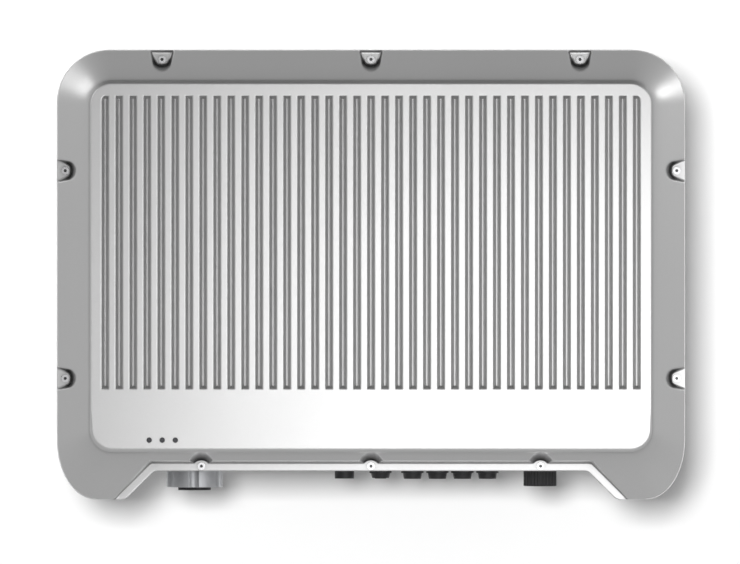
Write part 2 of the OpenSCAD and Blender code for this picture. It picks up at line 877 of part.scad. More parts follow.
module control_board_pillars() {
    color("goldenrod") control_corners() difference() {
        hex_bar(0, 0, board_face_d, control_d, pillar_r);
        bar(0, 0, control_d - 12, control_d + cut, small_screw_r);
    }
}

module control_board_screws() {
    color("silver") control_corners() small_screw(0, 0, control_d - 8, control_face_d);
}

module control_chips() {
    color("black") {
        for (p = [[-110, 10, 28], [-70, -20, 18], [-150, -20, 14], [-150, 25, 16]])
            box(span(p[0], p[2]), [control_face_d, control_face_d + 2], span(p[1], p[2]));
        for (i = [0:2]) bar(-60, 20 + 12 * i, control_face_d, control_face_d + 11, 4);
    }
}

module network_jack() {
    color("gray") difference() {
        mouth_z = control_z[0] - 2;
        box(span(-51.5, 17), [control_face_d, control_face_d + 14], [mouth_z, mouth_z + 21]);
        box(span(-51.5, 13), [control_face_d + 2, control_face_d + 11], [mouth_z - cut, mouth_z + 14]);
    }
}

/* ---- Isolator ---- */

module dc_switch_body() {
    color("dimgray") difference() {
        union() {
            for (i = [0:3]) {
                z = inside_z + 4 + 11.5 * i;
                box(span(switch_x, switch_w), span(connector_d, switch_w), [z, z + 10.5]);
            }
            box(span(switch_x, switch_w - 4), span(connector_d, switch_w - 4), [inside_z, switch_top_z]);
        }
        column(switch_x, inside_z - cut, inside_z + 16, shaft_r + turn_gap);
        switch_lead_places(switch_top_z - 6) cylinder(h = 6 + cut, r = wire_r + 2 * thread_gap);
    }
}

// Children at the isolator's four leads, at height z
module switch_lead_places(z) {
    for (x = [-12, 12], y = [-5, 5]) translate([switch_x + x, y - connector_d, z]) children();
}

module dc_switch_shaft() {
    color("lightgray") column(switch_x, foot_of_knob + 6, inside_z + 15.5, shaft_r);
}

module dc_switch_knob() {
    top = base_z - plate_t - 0.5;
    grip = (knob_r - 3) * 0.9;
    color("black") difference() {
        column(switch_x, foot_of_knob, top, knob_r);
        column(switch_x, foot_of_knob + 6, top + cut, shaft_r);
        around(switch_x, foot_of_knob - cut, knob_r + 0.3, knob_flutes)
            cylinder(h = top - foot_of_knob - 2 + cut, r = 0.9, $fn = 24);
        for (x = [-1, 1] * (grip + 4) / 2)
            box(span(switch_x + x, grip), span(connector_d, 2 * grip),
                [foot_of_knob - cut, foot_of_knob + 3.5]);
    }
}

module dc_switch_plate() {
    color("black") ring(switch_x, base_z - plate_t, base_z, knob_r + 3, shaft_r + 1);
}

module dc_switch_seal() {
    color("dimgray") ring(switch_x, base_z, inside_z, shaft_r + 2.4, shaft_r + free_gap);
}

module dc_switch_leads() {
    foot = switch_top_z - 5;
    color("firebrick") switch_lead_places(foot) cylinder(h = switch_block_z + 7 - foot, r = wire_r);
}

/* ---- Solar sockets ---- */

module pv_sockets() {
    color("black") for (x = pv_x) difference() {
        union() {
            column(x, base_z, pv_tail_z, pv_stem_r);
            column(x, base_z - 6, base_z, pv_flange_r);
            column(x, recess_z + 1, base_z - 6, pv_flange_r - 1.2);
            column(x, recess_z - 2.7, recess_z + 1, pv_flange_r);
            taper(x, foot_of_pv, recess_z - 2.7, pv_flange_r - 2.4, pv_flange_r - 1.5);
        }
        column(x, foot_of_pv - cut, foot_of_pv + 12, pv_bore_r);
        column(x, foot_of_pv + 12 - 0.1, pv_tail_z + cut, wire_r + 2 * thread_gap);
    }
}

module pv_socket_nuts() {
    color("black") for (x = pv_x) difference() {
        hexagon(x, inside_z, inside_z + 5, pv_stem_r + 2.9);
        column(x, inside_z - cut, inside_z + 5 + cut, pv_stem_r + thread_gap);
    }
}

module pv_socket_contacts() {
    color("gold") for (x = pv_x) column(x, foot_of_pv + 12, foot_of_pv + 26, wire_r);
}

module pv_leads() {
    for (i = [0:3]) color(i % 2 == 0 ? "firebrick" : "black")
        column(pv_x[i], foot_of_pv + 26, terminal_z + 9, wire_r);
}

/* ---- Glands ---- */

module ac_gland_body() {
    neck_foot = foot_of_ac_nut + ac_lip + 1.5;
    color("lightgray") difference() {
        union() {
            column(ac_x, base_z - ac_flange_t, base_z, ac_nut_r - 1.5);
            column(ac_x, neck_foot, base_z - ac_flange_t, ac_neck_r);
            column(ac_x, base_z, inside_z + locknut_t + 3, ac_stem_r);
        }
        column(ac_x, neck_foot - cut, inside_z + locknut_t + 3 + cut, ac_bore_r);
    }
}

module ac_gland_nut() {
    top = base_z - ac_flange_t - free_gap;
    ledge = foot_of_ac_nut + ac_lip;
    color("silver") difference() {
        column(ac_x, foot_of_ac_nut, top, ac_nut_r);
        column(ac_x, ledge, top + cut, ac_neck_r + turn_gap);
        column(ac_x, foot_of_ac_nut - cut, ledge + cut, ac_lip_bore_r);
        around(ac_x, foot_of_ac_nut - cut, ac_nut_r + 3, ac_lobes, 30)
            cylinder(h = top - foot_of_ac_nut + 2 * cut, r = 5.5);
    }
}

module ac_gland_seal() {
    ledge = foot_of_ac_nut + ac_lip;
    color("black") difference() {
        union() {
            column(ac_x, foot_of_ac_seal, ledge + free_gap, ac_lip_bore_r - free_gap);
            column(ac_x, ledge + free_gap, ledge + 1.2, ac_neck_r - free_gap);
            column(ac_x, ledge + 1.2, ledge + 14, ac_bore_r - free_gap);
        }
        column(ac_x, foot_of_ac_seal - cut, ledge + 14 + cut, ac_cable_r);
    }
}

module ac_gland_locknut() {
    color("silver") difference() {
        hexagon(ac_x, inside_z, inside_z + locknut_t, ac_stem_r + 7);
        column(ac_x, inside_z - cut, inside_z + locknut_t + cut, ac_stem_r + thread_gap);
    }
}

module data_gland_body() {
    neck_foot = foot_of_data + data_lip + 1.5;
    color("black") difference() {
        union() {
            hexagon(data_x, base_z - data_flange_t, base_z, data_nut_r + 0.8);
            column(data_x, neck_foot, base_z - data_flange_t, data_neck_r);
            column(data_x, base_z, inside_z + 7, data_stem_r);
        }
        column(data_x, neck_foot - cut, inside_z + 7 + cut, data_bore_r);
    }
}

module data_gland_nut() {
    top = base_z - data_flange_t - free_gap;
    ledge = foot_of_data + data_lip;
    color("black") difference() {
        union() {
            column(data_x, recess_z - 2.7, top, data_nut_r);
            taper(data_x, foot_of_data, recess_z - 2.7, data_nut_r - 2.4, data_nut_r - 1.2);
        }
        column(data_x, ledge, top + cut, data_neck_r + turn_gap);
        column(data_x, foot_of_data - cut, ledge + cut, data_lip_bore_r);
        around(data_x, recess_z - 2.7 - cut, data_nut_r + 0.6, 12)
            cylinder(h = top - recess_z + 2.7 + 2 * cut, r = 1.1, $fn = 24);
    }
}

module data_gland_seal() {
    ledge = foot_of_data + data_lip;
    color("dimgray") difference() {
        union() {
            column(data_x, foot_of_data - 0.6, ledge + free_gap, data_lip_bore_r - free_gap);
            column(data_x, ledge + free_gap, ledge + 1.2, data_neck_r - free_gap);
            column(data_x, ledge + 1.2, ledge + 9, data_bore_r - free_gap);
        }
        column(data_x, foot_of_data - 0.6 - cut, ledge + 9 + cut, data_cable_r);
    }
}

module data_gland_locknut() {
    color("black") difference() {
        hexagon(data_x, inside_z, inside_z + 4, data_stem_r + 3.5);
        column(data_x, inside_z - cut, inside_z + 4 + cut, data_stem_r + thread_gap);
    }
}

/* ---- Vent and earth ---- */

module vent_plug() {
    color("black") difference() {
        union() {
            column(vent_x, foot_of_vent, base_z - 2, 8.85);
            column(vent_x, base_z - 2, base_z, 7.5);
            column(vent_x, base_z, inside_z + 7, 5);
        }
        column(vent_x, base_z - 4, inside_z + 7 + cut, 2.5);
        for (i = [0:5]) translate([vent_x, -connector_d, base_z - 5]) rotate([0, 90, 30 + 60 * i])
            translate([0, 0, 4]) cylinder(h = 6, r = 1, $fn = 24);
    }
}

module vent_nut() {
    color("black") difference() {
        hexagon(vent_x, inside_z, inside_z + 4, 8.6);
        column(vent_x, inside_z - cut, inside_z + 4 + cut, 5 + thread_gap);
    }
}

module earth_screw() {
    color("goldenrod") difference() {
        union() {
            column(earth_x, base_z - 1.6, inside_z + 2, 3 - thread_gap);
            hexagon(earth_x, base_z - 5.6, base_z - 1.6, 5.8);
        }
        translate([earth_x - 5, -connector_d - 0.6, base_z - 5.6 - cut]) cube([10, 1.2, 1.2 + cut]);
    }
}

module earth_washer() {
    color("silver") ring(earth_x, base_z - 1.6, base_z, 7, 3.1);
}

wall_bracket();
hanging_rail();
rail_screws();
rear_bumpers();
heat_sink();
heat_sink_seal();
heat_sink_screws();
rear_housing();
cover_gasket();
front_cover();
cover_screws();
indicator_lenses();
indicator_board();
indicator_leds();
indicator_board_screws();
ribbon_cable();
power_board();
power_board_screws();
power_modules();
module_screws();
thermal_pads();
inductor_cans();
inductor_potting();
inductor_terminals();
dc_link_capacitors();
film_capacitors();
output_relays();
current_sensors();
emi_chokes();
ac_terminal_block();
dc_terminal_blocks();
control_board();
control_board_pillars();
control_board_screws();
control_chips();
network_jack();
dc_switch_body();
dc_switch_shaft();
dc_switch_knob();
dc_switch_plate();
dc_switch_seal();
dc_switch_leads();
pv_sockets();
pv_socket_nuts();
pv_socket_contacts();
pv_leads();
ac_gland_body();
ac_gland_nut();
ac_gland_seal();
ac_gland_locknut();
data_gland_body();
data_gland_nut();
data_gland_seal();
data_gland_locknut();
vent_plug();
vent_nut();
earth_screw();
earth_washer();
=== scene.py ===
# %% [markdown]
# # A string inverter on its wall bracket
#
# The packed CAD model is a fixed frame: every piece is already in place, in metres, with the wall at y = 0
# and the front facing -Y. This lesson gives each piece its finish, and models the cast front cover and the
# isolator's knob anew as smooth meshes, because their soft edges are what the eye meets first.

# %% The frame
import json
import math

import bmesh
import bpy
import numpy as np
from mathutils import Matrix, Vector
from mathutils.geometry import delaunay_2d_cdt


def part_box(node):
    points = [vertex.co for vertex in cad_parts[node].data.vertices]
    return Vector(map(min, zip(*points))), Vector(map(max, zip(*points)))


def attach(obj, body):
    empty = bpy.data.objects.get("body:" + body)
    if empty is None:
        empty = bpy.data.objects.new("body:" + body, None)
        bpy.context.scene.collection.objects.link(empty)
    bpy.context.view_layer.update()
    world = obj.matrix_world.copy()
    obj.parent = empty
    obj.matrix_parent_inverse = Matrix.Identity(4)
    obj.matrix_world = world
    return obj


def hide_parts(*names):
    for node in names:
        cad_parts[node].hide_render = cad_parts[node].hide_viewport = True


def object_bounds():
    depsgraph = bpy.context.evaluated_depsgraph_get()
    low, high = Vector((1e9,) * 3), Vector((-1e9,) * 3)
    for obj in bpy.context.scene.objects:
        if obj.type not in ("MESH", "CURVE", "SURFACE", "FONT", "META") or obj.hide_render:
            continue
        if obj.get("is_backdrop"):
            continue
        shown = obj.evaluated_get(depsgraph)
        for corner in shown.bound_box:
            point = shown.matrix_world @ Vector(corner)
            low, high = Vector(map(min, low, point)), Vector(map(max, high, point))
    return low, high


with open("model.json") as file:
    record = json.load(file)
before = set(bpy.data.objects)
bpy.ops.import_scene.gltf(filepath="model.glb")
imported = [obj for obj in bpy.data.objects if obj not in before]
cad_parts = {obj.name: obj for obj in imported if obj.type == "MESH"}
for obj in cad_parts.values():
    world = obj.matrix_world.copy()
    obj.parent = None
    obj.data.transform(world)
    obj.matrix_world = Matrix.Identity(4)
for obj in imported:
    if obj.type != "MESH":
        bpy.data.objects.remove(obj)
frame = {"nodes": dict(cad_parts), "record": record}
cad_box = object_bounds()
MM = 0.001
MICRON = 0.000001
scene = bpy.context.scene
nodes = frame["nodes"]
print("CAD box in mm:", [[round(v / MM, 1) for v in corner] for corner in cad_box])

# %% [markdown]
# ## Reading places from the frame
#
# A node such as the cover screws holds ten separate solids. Their places are in the frame, so nothing has
# to be typed in twice. The import splits vertices at sharp edges, so they are merged first, and then each
# solid is found by walking from vertex to vertex along the edges.

# %% The separate solids of a node
def solids(node):
    """The low and high corner of each separate solid in a node, in millimetres, from left to right."""
    mesh = bmesh.new()
    mesh.from_mesh(nodes[node].data)
    bmesh.ops.remove_doubles(mesh, verts=mesh.verts, dist=MICRON)
    left, found = set(mesh.verts), []
    while left:
        group, edge = [], [left.pop()]
        while edge:
            vertex = edge.pop()
            group.append(vertex.co / MM)
            fresh = [e.other_vert(vertex) for e in vertex.link_edges]
            fresh = [v for v in fresh if v in left]
            left.difference_update(fresh)
            edge.extend(fresh)
        found.append((np.min(group, axis=0), np.max(group, axis=0)))
    mesh.free()
    return sorted(found, key=lambda solid: tuple(solid[0].round(2)))


def middle(solid):
    return (solid[0] + solid[1]) / 2


screw_places = [middle(solid) for solid in solids("cover_screws")]
lens_places = [middle(solid) for solid in solids("indicator_lenses")]
print(len(screw_places), "cover screws and", len(lens_places), "lenses")

# %% [markdown]
# ## Camera
#
# The inverter is seen square on, from far away through a long lens, so that its sides show no perspective.
# The view is 672 mm wide where the front cover's seam is, and its middle is a little below the inverter's.

# %% A long lens, straight ahead
VIEW_WIDTH = 0.6716
VIEW_MIDDLE_X, VIEW_MIDDLE_Z = -0.0009, -0.0068
SEAM_Y = -0.16
camera_data = bpy.data.cameras.new("long_lens")
camera_data.sensor_width = 36.0
camera_data.lens = 500.0
away = VIEW_WIDTH * camera_data.lens / camera_data.sensor_width
camera = bpy.data.objects.new("camera", camera_data)
camera.location = (VIEW_MIDDLE_X, SEAM_Y - away, VIEW_MIDDLE_Z)
camera.rotation_euler = (math.radians(90.0), 0.0, 0.0)
camera_data.clip_end = 100.0
scene.collection.objects.link(camera)
scene.camera = camera
print("camera stands", round(away, 2), "m from the seam")

# %% [markdown]
# ## Shader maths as Python
#
# A finish is a small sum: some noise, scaled and added to a base value. Node trees hide such a sum in boxes
# and lines, so one class wraps an output socket and lets Python's operators add the Math nodes. `1 - mask`
# works too, through the reflected forms. Every other node comes from `node`, which sets the node's own
# settings first, because some settings change which sockets a node has.

# %% A socket with operators
class Wire:
    """One output socket of a node tree."""

    def __init__(self, tree, socket):
        self.tree = tree
        self.socket = socket

    def node(self, kind, settings=None, sockets=None, out=0):
        """A new node of any type in the same tree, as the wire that leaves one of its outputs."""
        made = self.tree.nodes.new(kind)
        for name, value in (settings or {}).items():
            setattr(made, name, value)
        for name, value in (sockets or {}).items():
            if isinstance(value, Wire):
                self.tree.links.new(value.socket, made.inputs[name])
            else:
                made.inputs[name].default_value = value
        return Wire(self.tree, made.outputs[out])

    def math(self, operation, *values):
        return self.node("ShaderNodeMath", {"operation": operation}, dict(enumerate(values)))

    def __add__(self, other):
        return self.math("ADD", self, other)

    def __mul__(self, other):
        return self.math("MULTIPLY", self, other)

    def __sub__(self, other):
        return self.math("SUBTRACT", self, other)

    def __rsub__(self, other):
        return self.math("SUBTRACT", other, self)

    __radd__ = __add__
    __rmul__ = __mul__

    def stretched(self, x, y, z):
        """This vector with each axis multiplied, which squeezes a pattern along that axis."""
        return self.node("ShaderNodeVectorMath", {"operation": "MULTIPLY"}, {0: self, 1: (x, y, z)})

    def axis(self, name):
        """One number of this vector."""
        return self.node("ShaderNodeSeparateXYZ", None, {0: self}, out="XYZ".index(name))

    def between(self, low, high):
        """0 below low, 1 above high and a soft step in between."""
        settings = {"interpolation_type": "SMOOTHSTEP"}
        return self.node("ShaderNodeMapRange", settings, {0: self, 1: low, 2: high})


print("a wire knows", [name for name in vars(Wire) if name[0] != "_"])

# %% [markdown]
# ## What every finish shares
#
# A finish starts from a point's place on the object, in metres, so that grain has the same size on a screw
# as on the case, and turns with a piece when a joint moves it. It ends in one Principled shader. Only its
# colour, roughness and bump change over the surface, and the other values are plain numbers.

# %% Start and end of a finish
def start(name):
    """A new material, and the wire that carries a point's place on its object."""
    made = bpy.data.materials.new(name)
    made.use_nodes = True
    tree = made.node_tree
    tree.nodes.clear()
    return made, Wire(tree, tree.nodes.new("ShaderNodeTexCoord").outputs["Object"])


def noise(place, scale, detail=2.0):
    """Soft noise round 0.5, with about `scale` lumps to the metre."""
    return place.node("ShaderNodeTexNoise", None, {"Vector": place, "Scale": scale, "Detail": detail})


def cells(place, scale, output=0, feature="F1"):
    """A pattern of cells: output 0 is the distance to a cell's middle, and 1 is a colour for each cell."""
    sockets = {"Vector": place, "Scale": scale}
    return place.node("ShaderNodeTexVoronoi", {"feature": feature}, sockets, out=output)


def tint(mask, low, high):
    """A colour that goes from low to high as the mask goes from 0 to 1."""
    sockets = {0: mask, 6: (*low, 1.0), 7: (*high, 1.0)}
    return mask.node("ShaderNodeMix", {"data_type": "RGBA"}, sockets, out=2)


def shade(colour, share):
    """A lighter or darker form of a colour."""
    return tuple(min(channel * share, 1.0) for channel in colour)


def bump(place, height, relief):
    """A normal for a height of 0 to 1 that stands `relief` metres high."""
    return place.node("ShaderNodeBump", None, {"Distance": relief, "Height": height})


def finish(made, place, **sockets):
    """Ends a material in one shader, with its sockets given by name."""
    named = {name.replace("_", " "): value for name, value in sockets.items()}
    shader = place.node("ShaderNodeBsdfPrincipled", None, named)
    end = place.tree.nodes.new("ShaderNodeOutputMaterial")
    place.tree.links.new(shader.socket, end.inputs["Surface"])
    return made

# %% [markdown]
# ## Painted aluminium
#
# The case is die-cast aluminium under a silver powder coat. The coat holds metal flakes, so most of what it
# shows is a broad, soft reflection, and its skin is a fine orange peel of lumps under a millimetre. A
# metallic shader with a middling roughness gives the reflection, two sizes of noise give the peel, and
# small cells, each with its own shade, give the flakes.
#
# Shade is painted into the coat. An Ambient Occlusion node says how open the air round a point is, and the
# object's own normal says how steep the place is. Their product mixes the coat towards a dark grey: a
# painted shade on the steep walls of grooves and pockets, and a weaker one wherever other faces stand
# close.

# %% Silver powder coat
PAINT_METAL = 0.8
PAINT_ROUGH = 0.29
# Painted shade: the grey the coat is darkened to, how far close faces count, and how strongly steep walls
# and other places darken
CREVICE_GREY = 0.03
CREVICE_REACH = 20.0 * MM
STEEP_FROM, STEEP_TO = 0.55, 0.72
WALL_SHADE, FLOOR_SHADE = 2.4, 0.4


def closeness(place, reach):
    """0 in open air, and near 1 where other faces stand closer than reach."""
    sockets = {"Distance": reach}
    return 1.0 - place.node("ShaderNodeAmbientOcclusion", {"samples": 8}, sockets, out="AO")


def darkened(base, share, grey):
    """A colour, mixed by a share towards a dark grey."""
    sockets = {0: share, 6: base, 7: (grey, grey, grey, 1.0)}
    return share.node("ShaderNodeMix", {"data_type": "RGBA"}, sockets, out=2)


def powder_coat(name, colour):
    colour = (sum(colour) / 3,) * 3
    made, place = start(name)
    flakes = cells(place, 5200.0, output=1).axis("X")
    cloud = noise(place, 9.0)
    peel = noise(place, 1500.0) * 0.7 + noise(place, 4200.0) * 0.3
    facing = place.node("ShaderNodeTexCoord", out="Normal").axis("Y")
    # Painted shade: steep places with other faces close round them are mixed towards a dark grey
    steep = 1.0 - facing.math("ABSOLUTE", facing)
    dust_and_shade = steep.between(STEEP_FROM, STEEP_TO) * WALL_SHADE + FLOOR_SHADE
    crevice_shade = dust_and_shade * closeness(place, CREVICE_REACH)
    coat = tint(flakes * 0.6 + cloud * 0.4, shade(colour, 0.93), shade(colour, 1.06))
    return finish(
        made,
        place,
        Base_Color=darkened(coat, crevice_shade, CREVICE_GREY),
        Metallic=PAINT_METAL,
        Roughness=noise(place, 300.0) * 0.06 + PAINT_ROUGH,
        Normal=bump(place, peel, 10 * MICRON),
    )


# %% [markdown]
# ## Bare and plated metal
#
# Each bare metal shows how it was made. An extruded heat sink has fine drawn lines along its length, a
# zinc-dipped bracket has crystals the size of a fingernail, and a turned, tumbled or plated part has a fine
# even grain with a faint cloud of wear. Shade is painted into narrow places such as a screw's socket: the
# worked metal darkens there in the same way as the coat does in its crevices.

# %% Extruded, dipped and worked metal
# Painted shade: narrow places such as a screw's socket are darkened towards this grey
SOCKET_GREY = 0.02
SOCKET_REACH = 4.0 * MM
SOCKET_SHADE = 1.4


def drawn_metal(name, colour, stretch, rough=0.34):
    """Lines drawn along one axis, the one on which the noise is stretched."""
    made, place = start(name)
    lines = noise(place.stretched(*stretch), 900.0, 3.0)
    stain = noise(place, 14.0, 4.0)
    return finish(
        made,
        place,
        Base_Color=tint(lines * 0.4 + stain * 0.6, shade(colour, 0.84), shade(colour, 1.1)),
        Metallic=1.0,
        Roughness=lines * 0.16 + stain * 0.1 + (rough - 0.13),
        Normal=bump(place, lines, 30 * MICRON),
    )


def zinc_coat(name, colour):
    made, place = start(name)
    crystal = cells(place, 120.0, output=1).axis("X")
    feather = noise(place.stretched(1.0, 1.0, 0.3), 1600.0, 3.0)
    return finish(
        made,
        place,
        Base_Color=tint(crystal * 0.7 + feather * 0.3, shade(colour, 0.74), shade(colour, 1.1)),
        Metallic=1.0,
        Roughness=crystal * 0.16 + feather * 0.12 + 0.25,
        Normal=bump(place, crystal * 0.4 + feather * 0.6, 30 * MICRON),
    )


def worked_metal(name, colour, rough=0.3, grain=2200.0, relief=10 * MICRON):
    made, place = start(name)
    wear = noise(place, 260.0, 3.0)
    fine = noise(place, grain)
    bare = tint(wear, shade(colour, 0.92), shade(colour, 1.12))
    return finish(
        made,
        place,
        # Painted shade: the metal is darkened where other faces stand close
        Base_Color=darkened(bare, closeness(place, SOCKET_REACH) * SOCKET_SHADE, SOCKET_GREY),
        Metallic=1.0,
        Roughness=wear * 0.12 + fine * 0.08 + (rough - 0.1),
        Normal=bump(place, fine, relief),
    )


# %% [markdown]
# ## Plastic, rubber and resin
#
# Moulded plastic takes the grain of its mould: spark-eroded steel leaves a fine pebble, and a polished
# mould leaves almost none. Small cells make the pebble, and slow noise makes the flow marks. Rubber is
# duller and a little dusty, so a lighter cloud lies over it. Resin is poured, so its skin sags, shines and
# has pinholes.

# %% Moulded plastic, rubber and poured resin
def moulded_plastic(name, colour, rough=0.45, grain=2600.0, relief=30 * MICRON):
    made, place = start(name)
    pebble = 1.0 - cells(place, grain)
    flow = noise(place, 40.0, 4.0)
    return finish(
        made,
        place,
        Base_Color=tint(flow * 0.6 + pebble * 0.4, shade(colour, 0.8), shade(colour, 1.25)),
        Roughness=flow * 0.12 + pebble * 0.08 + (rough - 0.1),
        Normal=bump(place, pebble, relief),
    )


def soft_rubber(name, colour):
    made, place = start(name)
    dust_and_shade = noise(place, 90.0, 5.0)
    skin = noise(place, 3000.0, 3.0)
    return finish(
        made,
        place,
        Base_Color=tint(dust_and_shade.between(0.45, 0.8), colour, shade(colour, 1.9)),
        Roughness=dust_and_shade * 0.2 + 0.6,
        Specular_IOR_Level=0.35,
        Normal=bump(place, skin, 30 * MICRON),
    )


def poured_resin(name, colour):
    made, place = start(name)
    sag = noise(place, 55.0, 3.0)
    pinholes = cells(place, 320.0).between(0.0, 0.12)
    return finish(
        made,
        place,
        Base_Color=tint(sag, shade(colour, 0.7), shade(colour, 1.3)),
        Roughness=sag * 0.2 + 0.15,
        Normal=bump(place, sag * 0.8 + pinholes * 0.2, 400 * MICRON),
    )


def filled_pad(name, colour):
    """A silicone pad, full of ceramic powder."""
    made, place = start(name)
    specks = cells(place, 2400.0, output=1).axis("Y")
    weave = noise(place, 700.0)
    return finish(
        made,
        place,
        Base_Color=tint(specks, shade(colour, 0.8), shade(colour, 1.15)),
        Roughness=weave * 0.15 + 0.7,
        Normal=bump(place, weave, 50 * MICRON),
    )


# %% [markdown]
# ## Finishes with a pattern
#
# A few parts have a drawn pattern. A circuit board's copper tracks lie under its green mask, so they raise
# it a little and lighten it. A flat cable is a row of round cores. A capacitor's sleeve is shrunk on and
# shows fine creases round it.

# %% Board, flat cable, sleeve, core and wire
def stripes(place, axis, scale):
    settings = {"bands_direction": axis, "wave_profile": "SIN"}
    sockets = {"Vector": place, "Scale": scale, "Distortion": 0.0}
    return place.node("ShaderNodeTexWave", settings, sockets, out=1)


def solder_mask(name, colour):
    made, place = start(name)
    patch = cells(place, 90.0, output=1).axis("X").between(0.48, 0.52)
    across = stripes(place, "X", 130.0).between(0.62, 0.72)
    along = stripes(place, "Z", 130.0).between(0.62, 0.72)
    tracks = across * patch + along * (1.0 - patch)
    pads = 1.0 - cells(place, 160.0).between(0.10, 0.14)
    copper = tracks.math("MAXIMUM", tracks, pads)
    weave = noise(place, 1500.0)
    return finish(
        made,
        place,
        Base_Color=tint(copper * 0.8 + weave * 0.2, shade(colour, 0.8), (0.07, 0.30, 0.13)),
        Roughness=weave * 0.1 + 0.22,
        Normal=bump(place, copper, 40 * MICRON),
    )


def flat_cable(name, colour):
    made, place = start(name)
    cores = stripes(place, "X", 125.0)
    scuff = noise(place, 200.0, 3.0)
    return finish(
        made,
        place,
        Base_Color=tint(cores * 0.7 + scuff * 0.3, shade(colour, 0.7), shade(colour, 1.1)),
        Roughness=scuff * 0.15 + 0.35,
        Normal=bump(place, cores, 200 * MICRON),
    )


def shrunk_sleeve(name, colour):
    made, place = start(name)
    crease = noise(place.stretched(0.3, 2.5, 0.3), 420.0, 3.0)
    return finish(
        made,
        place,
        Base_Color=tint(crease, shade(colour, 0.8), shade(colour, 1.2)),
        Roughness=crease * 0.15 + 0.2,
        Coat_Weight=0.3,
        Normal=bump(place, crease, 120 * MICRON),
    )


def smoked_lens(name, colour):
    made, place = start(name)
    haze = noise(place, 500.0, 2.0)
    return finish(
        made,
        place,
        Base_Color=tint(haze, shade(colour, 0.7), shade(colour, 1.2)),
        Roughness=haze * 0.08 + 0.08,
        Coat_Weight=0.1,
        Normal=bump(place, haze, 10 * MICRON),
    )


def drawn_wire(name, colour):
    """Extruded insulation, with faint lines along the wire."""
    made, place = start(name)
    lines = noise(place.stretched(1.0, 1.0, 0.05), 1500.0)
    return finish(
        made,
        place,
        Base_Color=tint(lines, shade(colour, 0.8), shade(colour, 1.15)),
        Roughness=lines * 0.15 + 0.4,
        Normal=bump(place, lines, 30 * MICRON),
    )


# %% [markdown]
# ## A finish for every slot
#
# The packed record names a material slot for every piece and a colour for every slot. One table says how
# each slot is finished, so every CAD node, seen or not, takes its finish from the same place.

# %% Slots and their finishes
UPRIGHT = (1.0, 1.0, 0.02)
OUTWARD = (1.0, 0.02, 1.0)
makers = {
    "painted_case": powder_coat,
    "bare_aluminium": lambda name, colour: drawn_metal(name, colour, UPRIGHT),
    "galvanised_steel": zinc_coat,
    "stainless_screws": lambda name, colour: worked_metal(name, colour, 0.28),
    "plated_metal": lambda name, colour: worked_metal(name, shade(colour, 0.9), 0.52, 1500.0, 20 * MICRON),
    "brass_parts": worked_metal,
    "gold_contacts": lambda name, colour: worked_metal(name, colour, 0.2),
    "copper_terminals": worked_metal,
    "black_plastic": moulded_plastic,
    "knob_plastic": lambda name, colour: moulded_plastic(name, colour, 0.5, 1800.0, 60 * MICRON),
    "grey_plastic": moulded_plastic,
    "rubber": soft_rubber,
    "gasket_rubber": soft_rubber,
    "lens": smoked_lens,
    "circuit_board": solder_mask,
    "light_pipe": lambda name, colour: moulded_plastic(name, colour, 0.2, 900.0, 10 * MICRON),
    "ribbon": flat_cable,
    "module_case": lambda name, colour: moulded_plastic(name, colour, 0.55, 3200.0),
    "thermal_pad": filled_pad,
    "can_aluminium": lambda name, colour: drawn_metal(name, colour, OUTWARD, 0.3),
    "potting": poured_resin,
    "capacitor_sleeve": shrunk_sleeve,
    "film_box": lambda name, colour: moulded_plastic(name, colour, 0.25, 700.0, 10 * MICRON),
    "relay_case": lambda name, colour: moulded_plastic(name, colour, 0.3, 1200.0, 20 * MICRON),
    "ferrite": filled_pad,
    "wire_insulation": drawn_wire,
}
colours = {row["slot"]: tuple(row["base_color"]) for row in frame["record"]["materials"]}
finishes = {slot: makers[slot](slot, colour) for slot, colour in colours.items()}
slot_of = {row["node"]: row["material_slot"] for row in frame["record"]["subparts"]}
for name, piece in nodes.items():
    piece.data.materials.clear()
    piece.data.materials.append(finishes[slot_of[name]])
print(len(finishes), "finishes on", len(nodes), "nodes")

# %% [markdown]
# ## Broken edges
#
# No real edge is perfectly sharp: castings have radii, sheet metal is deburred and plastic shrinks. A Bevel
# modifier breaks each edge of a piece without touching its mesh. A Weld comes first, because the bevel
# needs faces that share their vertices. A Weighted Normal comes last: it lets the largest faces decide the
# shading, so flat faces stay flat and only the bevels turn the light. The bracket's sheet was cut from
# several strips, so a Decimate joins the strips that lie in one plane before its edges are broken.

# %% Bevels by kind of piece
EDGE_RADII = {
    "rear_housing": 0.8,
    "heat_sink": 0.3,
    "wall_bracket": 0.35,
    "hanging_rail": 0.45,
    "rear_bumpers": 0.8,
    "ac_gland_nut": 0.7,
    "ac_gland_body": 0.5,
    "ac_gland_seal": 0.4,
    "inductor_cans": 0.8,
    "dc_link_capacitors": 1.0,
    "cover_gasket": 0.2,
    "ribbon_cable": 0.1,
    "thermal_pads": 0.1,
}
EDGE_RADIUS = 0.25
SHARPEST_SMOOTH = math.radians(35.0)
SAME_PLANE = math.radians(0.5)


def break_edges(piece, radius):
    """Rounds every edge of a piece that turns more than SHARPEST_SMOOTH."""
    edges = piece.modifiers.new("broken_edges", "BEVEL")
    edges.width = radius * MM
    edges.segments = 2
    edges.limit_method = "ANGLE"
    edges.angle_limit = SHARPEST_SMOOTH
    shading = piece.modifiers.new("flat_faces_stay_flat", "WEIGHTED_NORMAL")
    shading.weight = 100


for name, piece in nodes.items():
    weld = piece.modifiers.new("weld", "WELD")
    weld.merge_threshold = MICRON
    if name == "wall_bracket":
        merge = piece.modifiers.new("one_face_per_plane", "DECIMATE")
        merge.decimate_type = "DISSOLVE"
        merge.angle_limit = SAME_PLANE
    break_edges(piece, EDGE_RADII.get(name, EDGE_RADIUS))
print("edges broken on", len(nodes), "nodes")

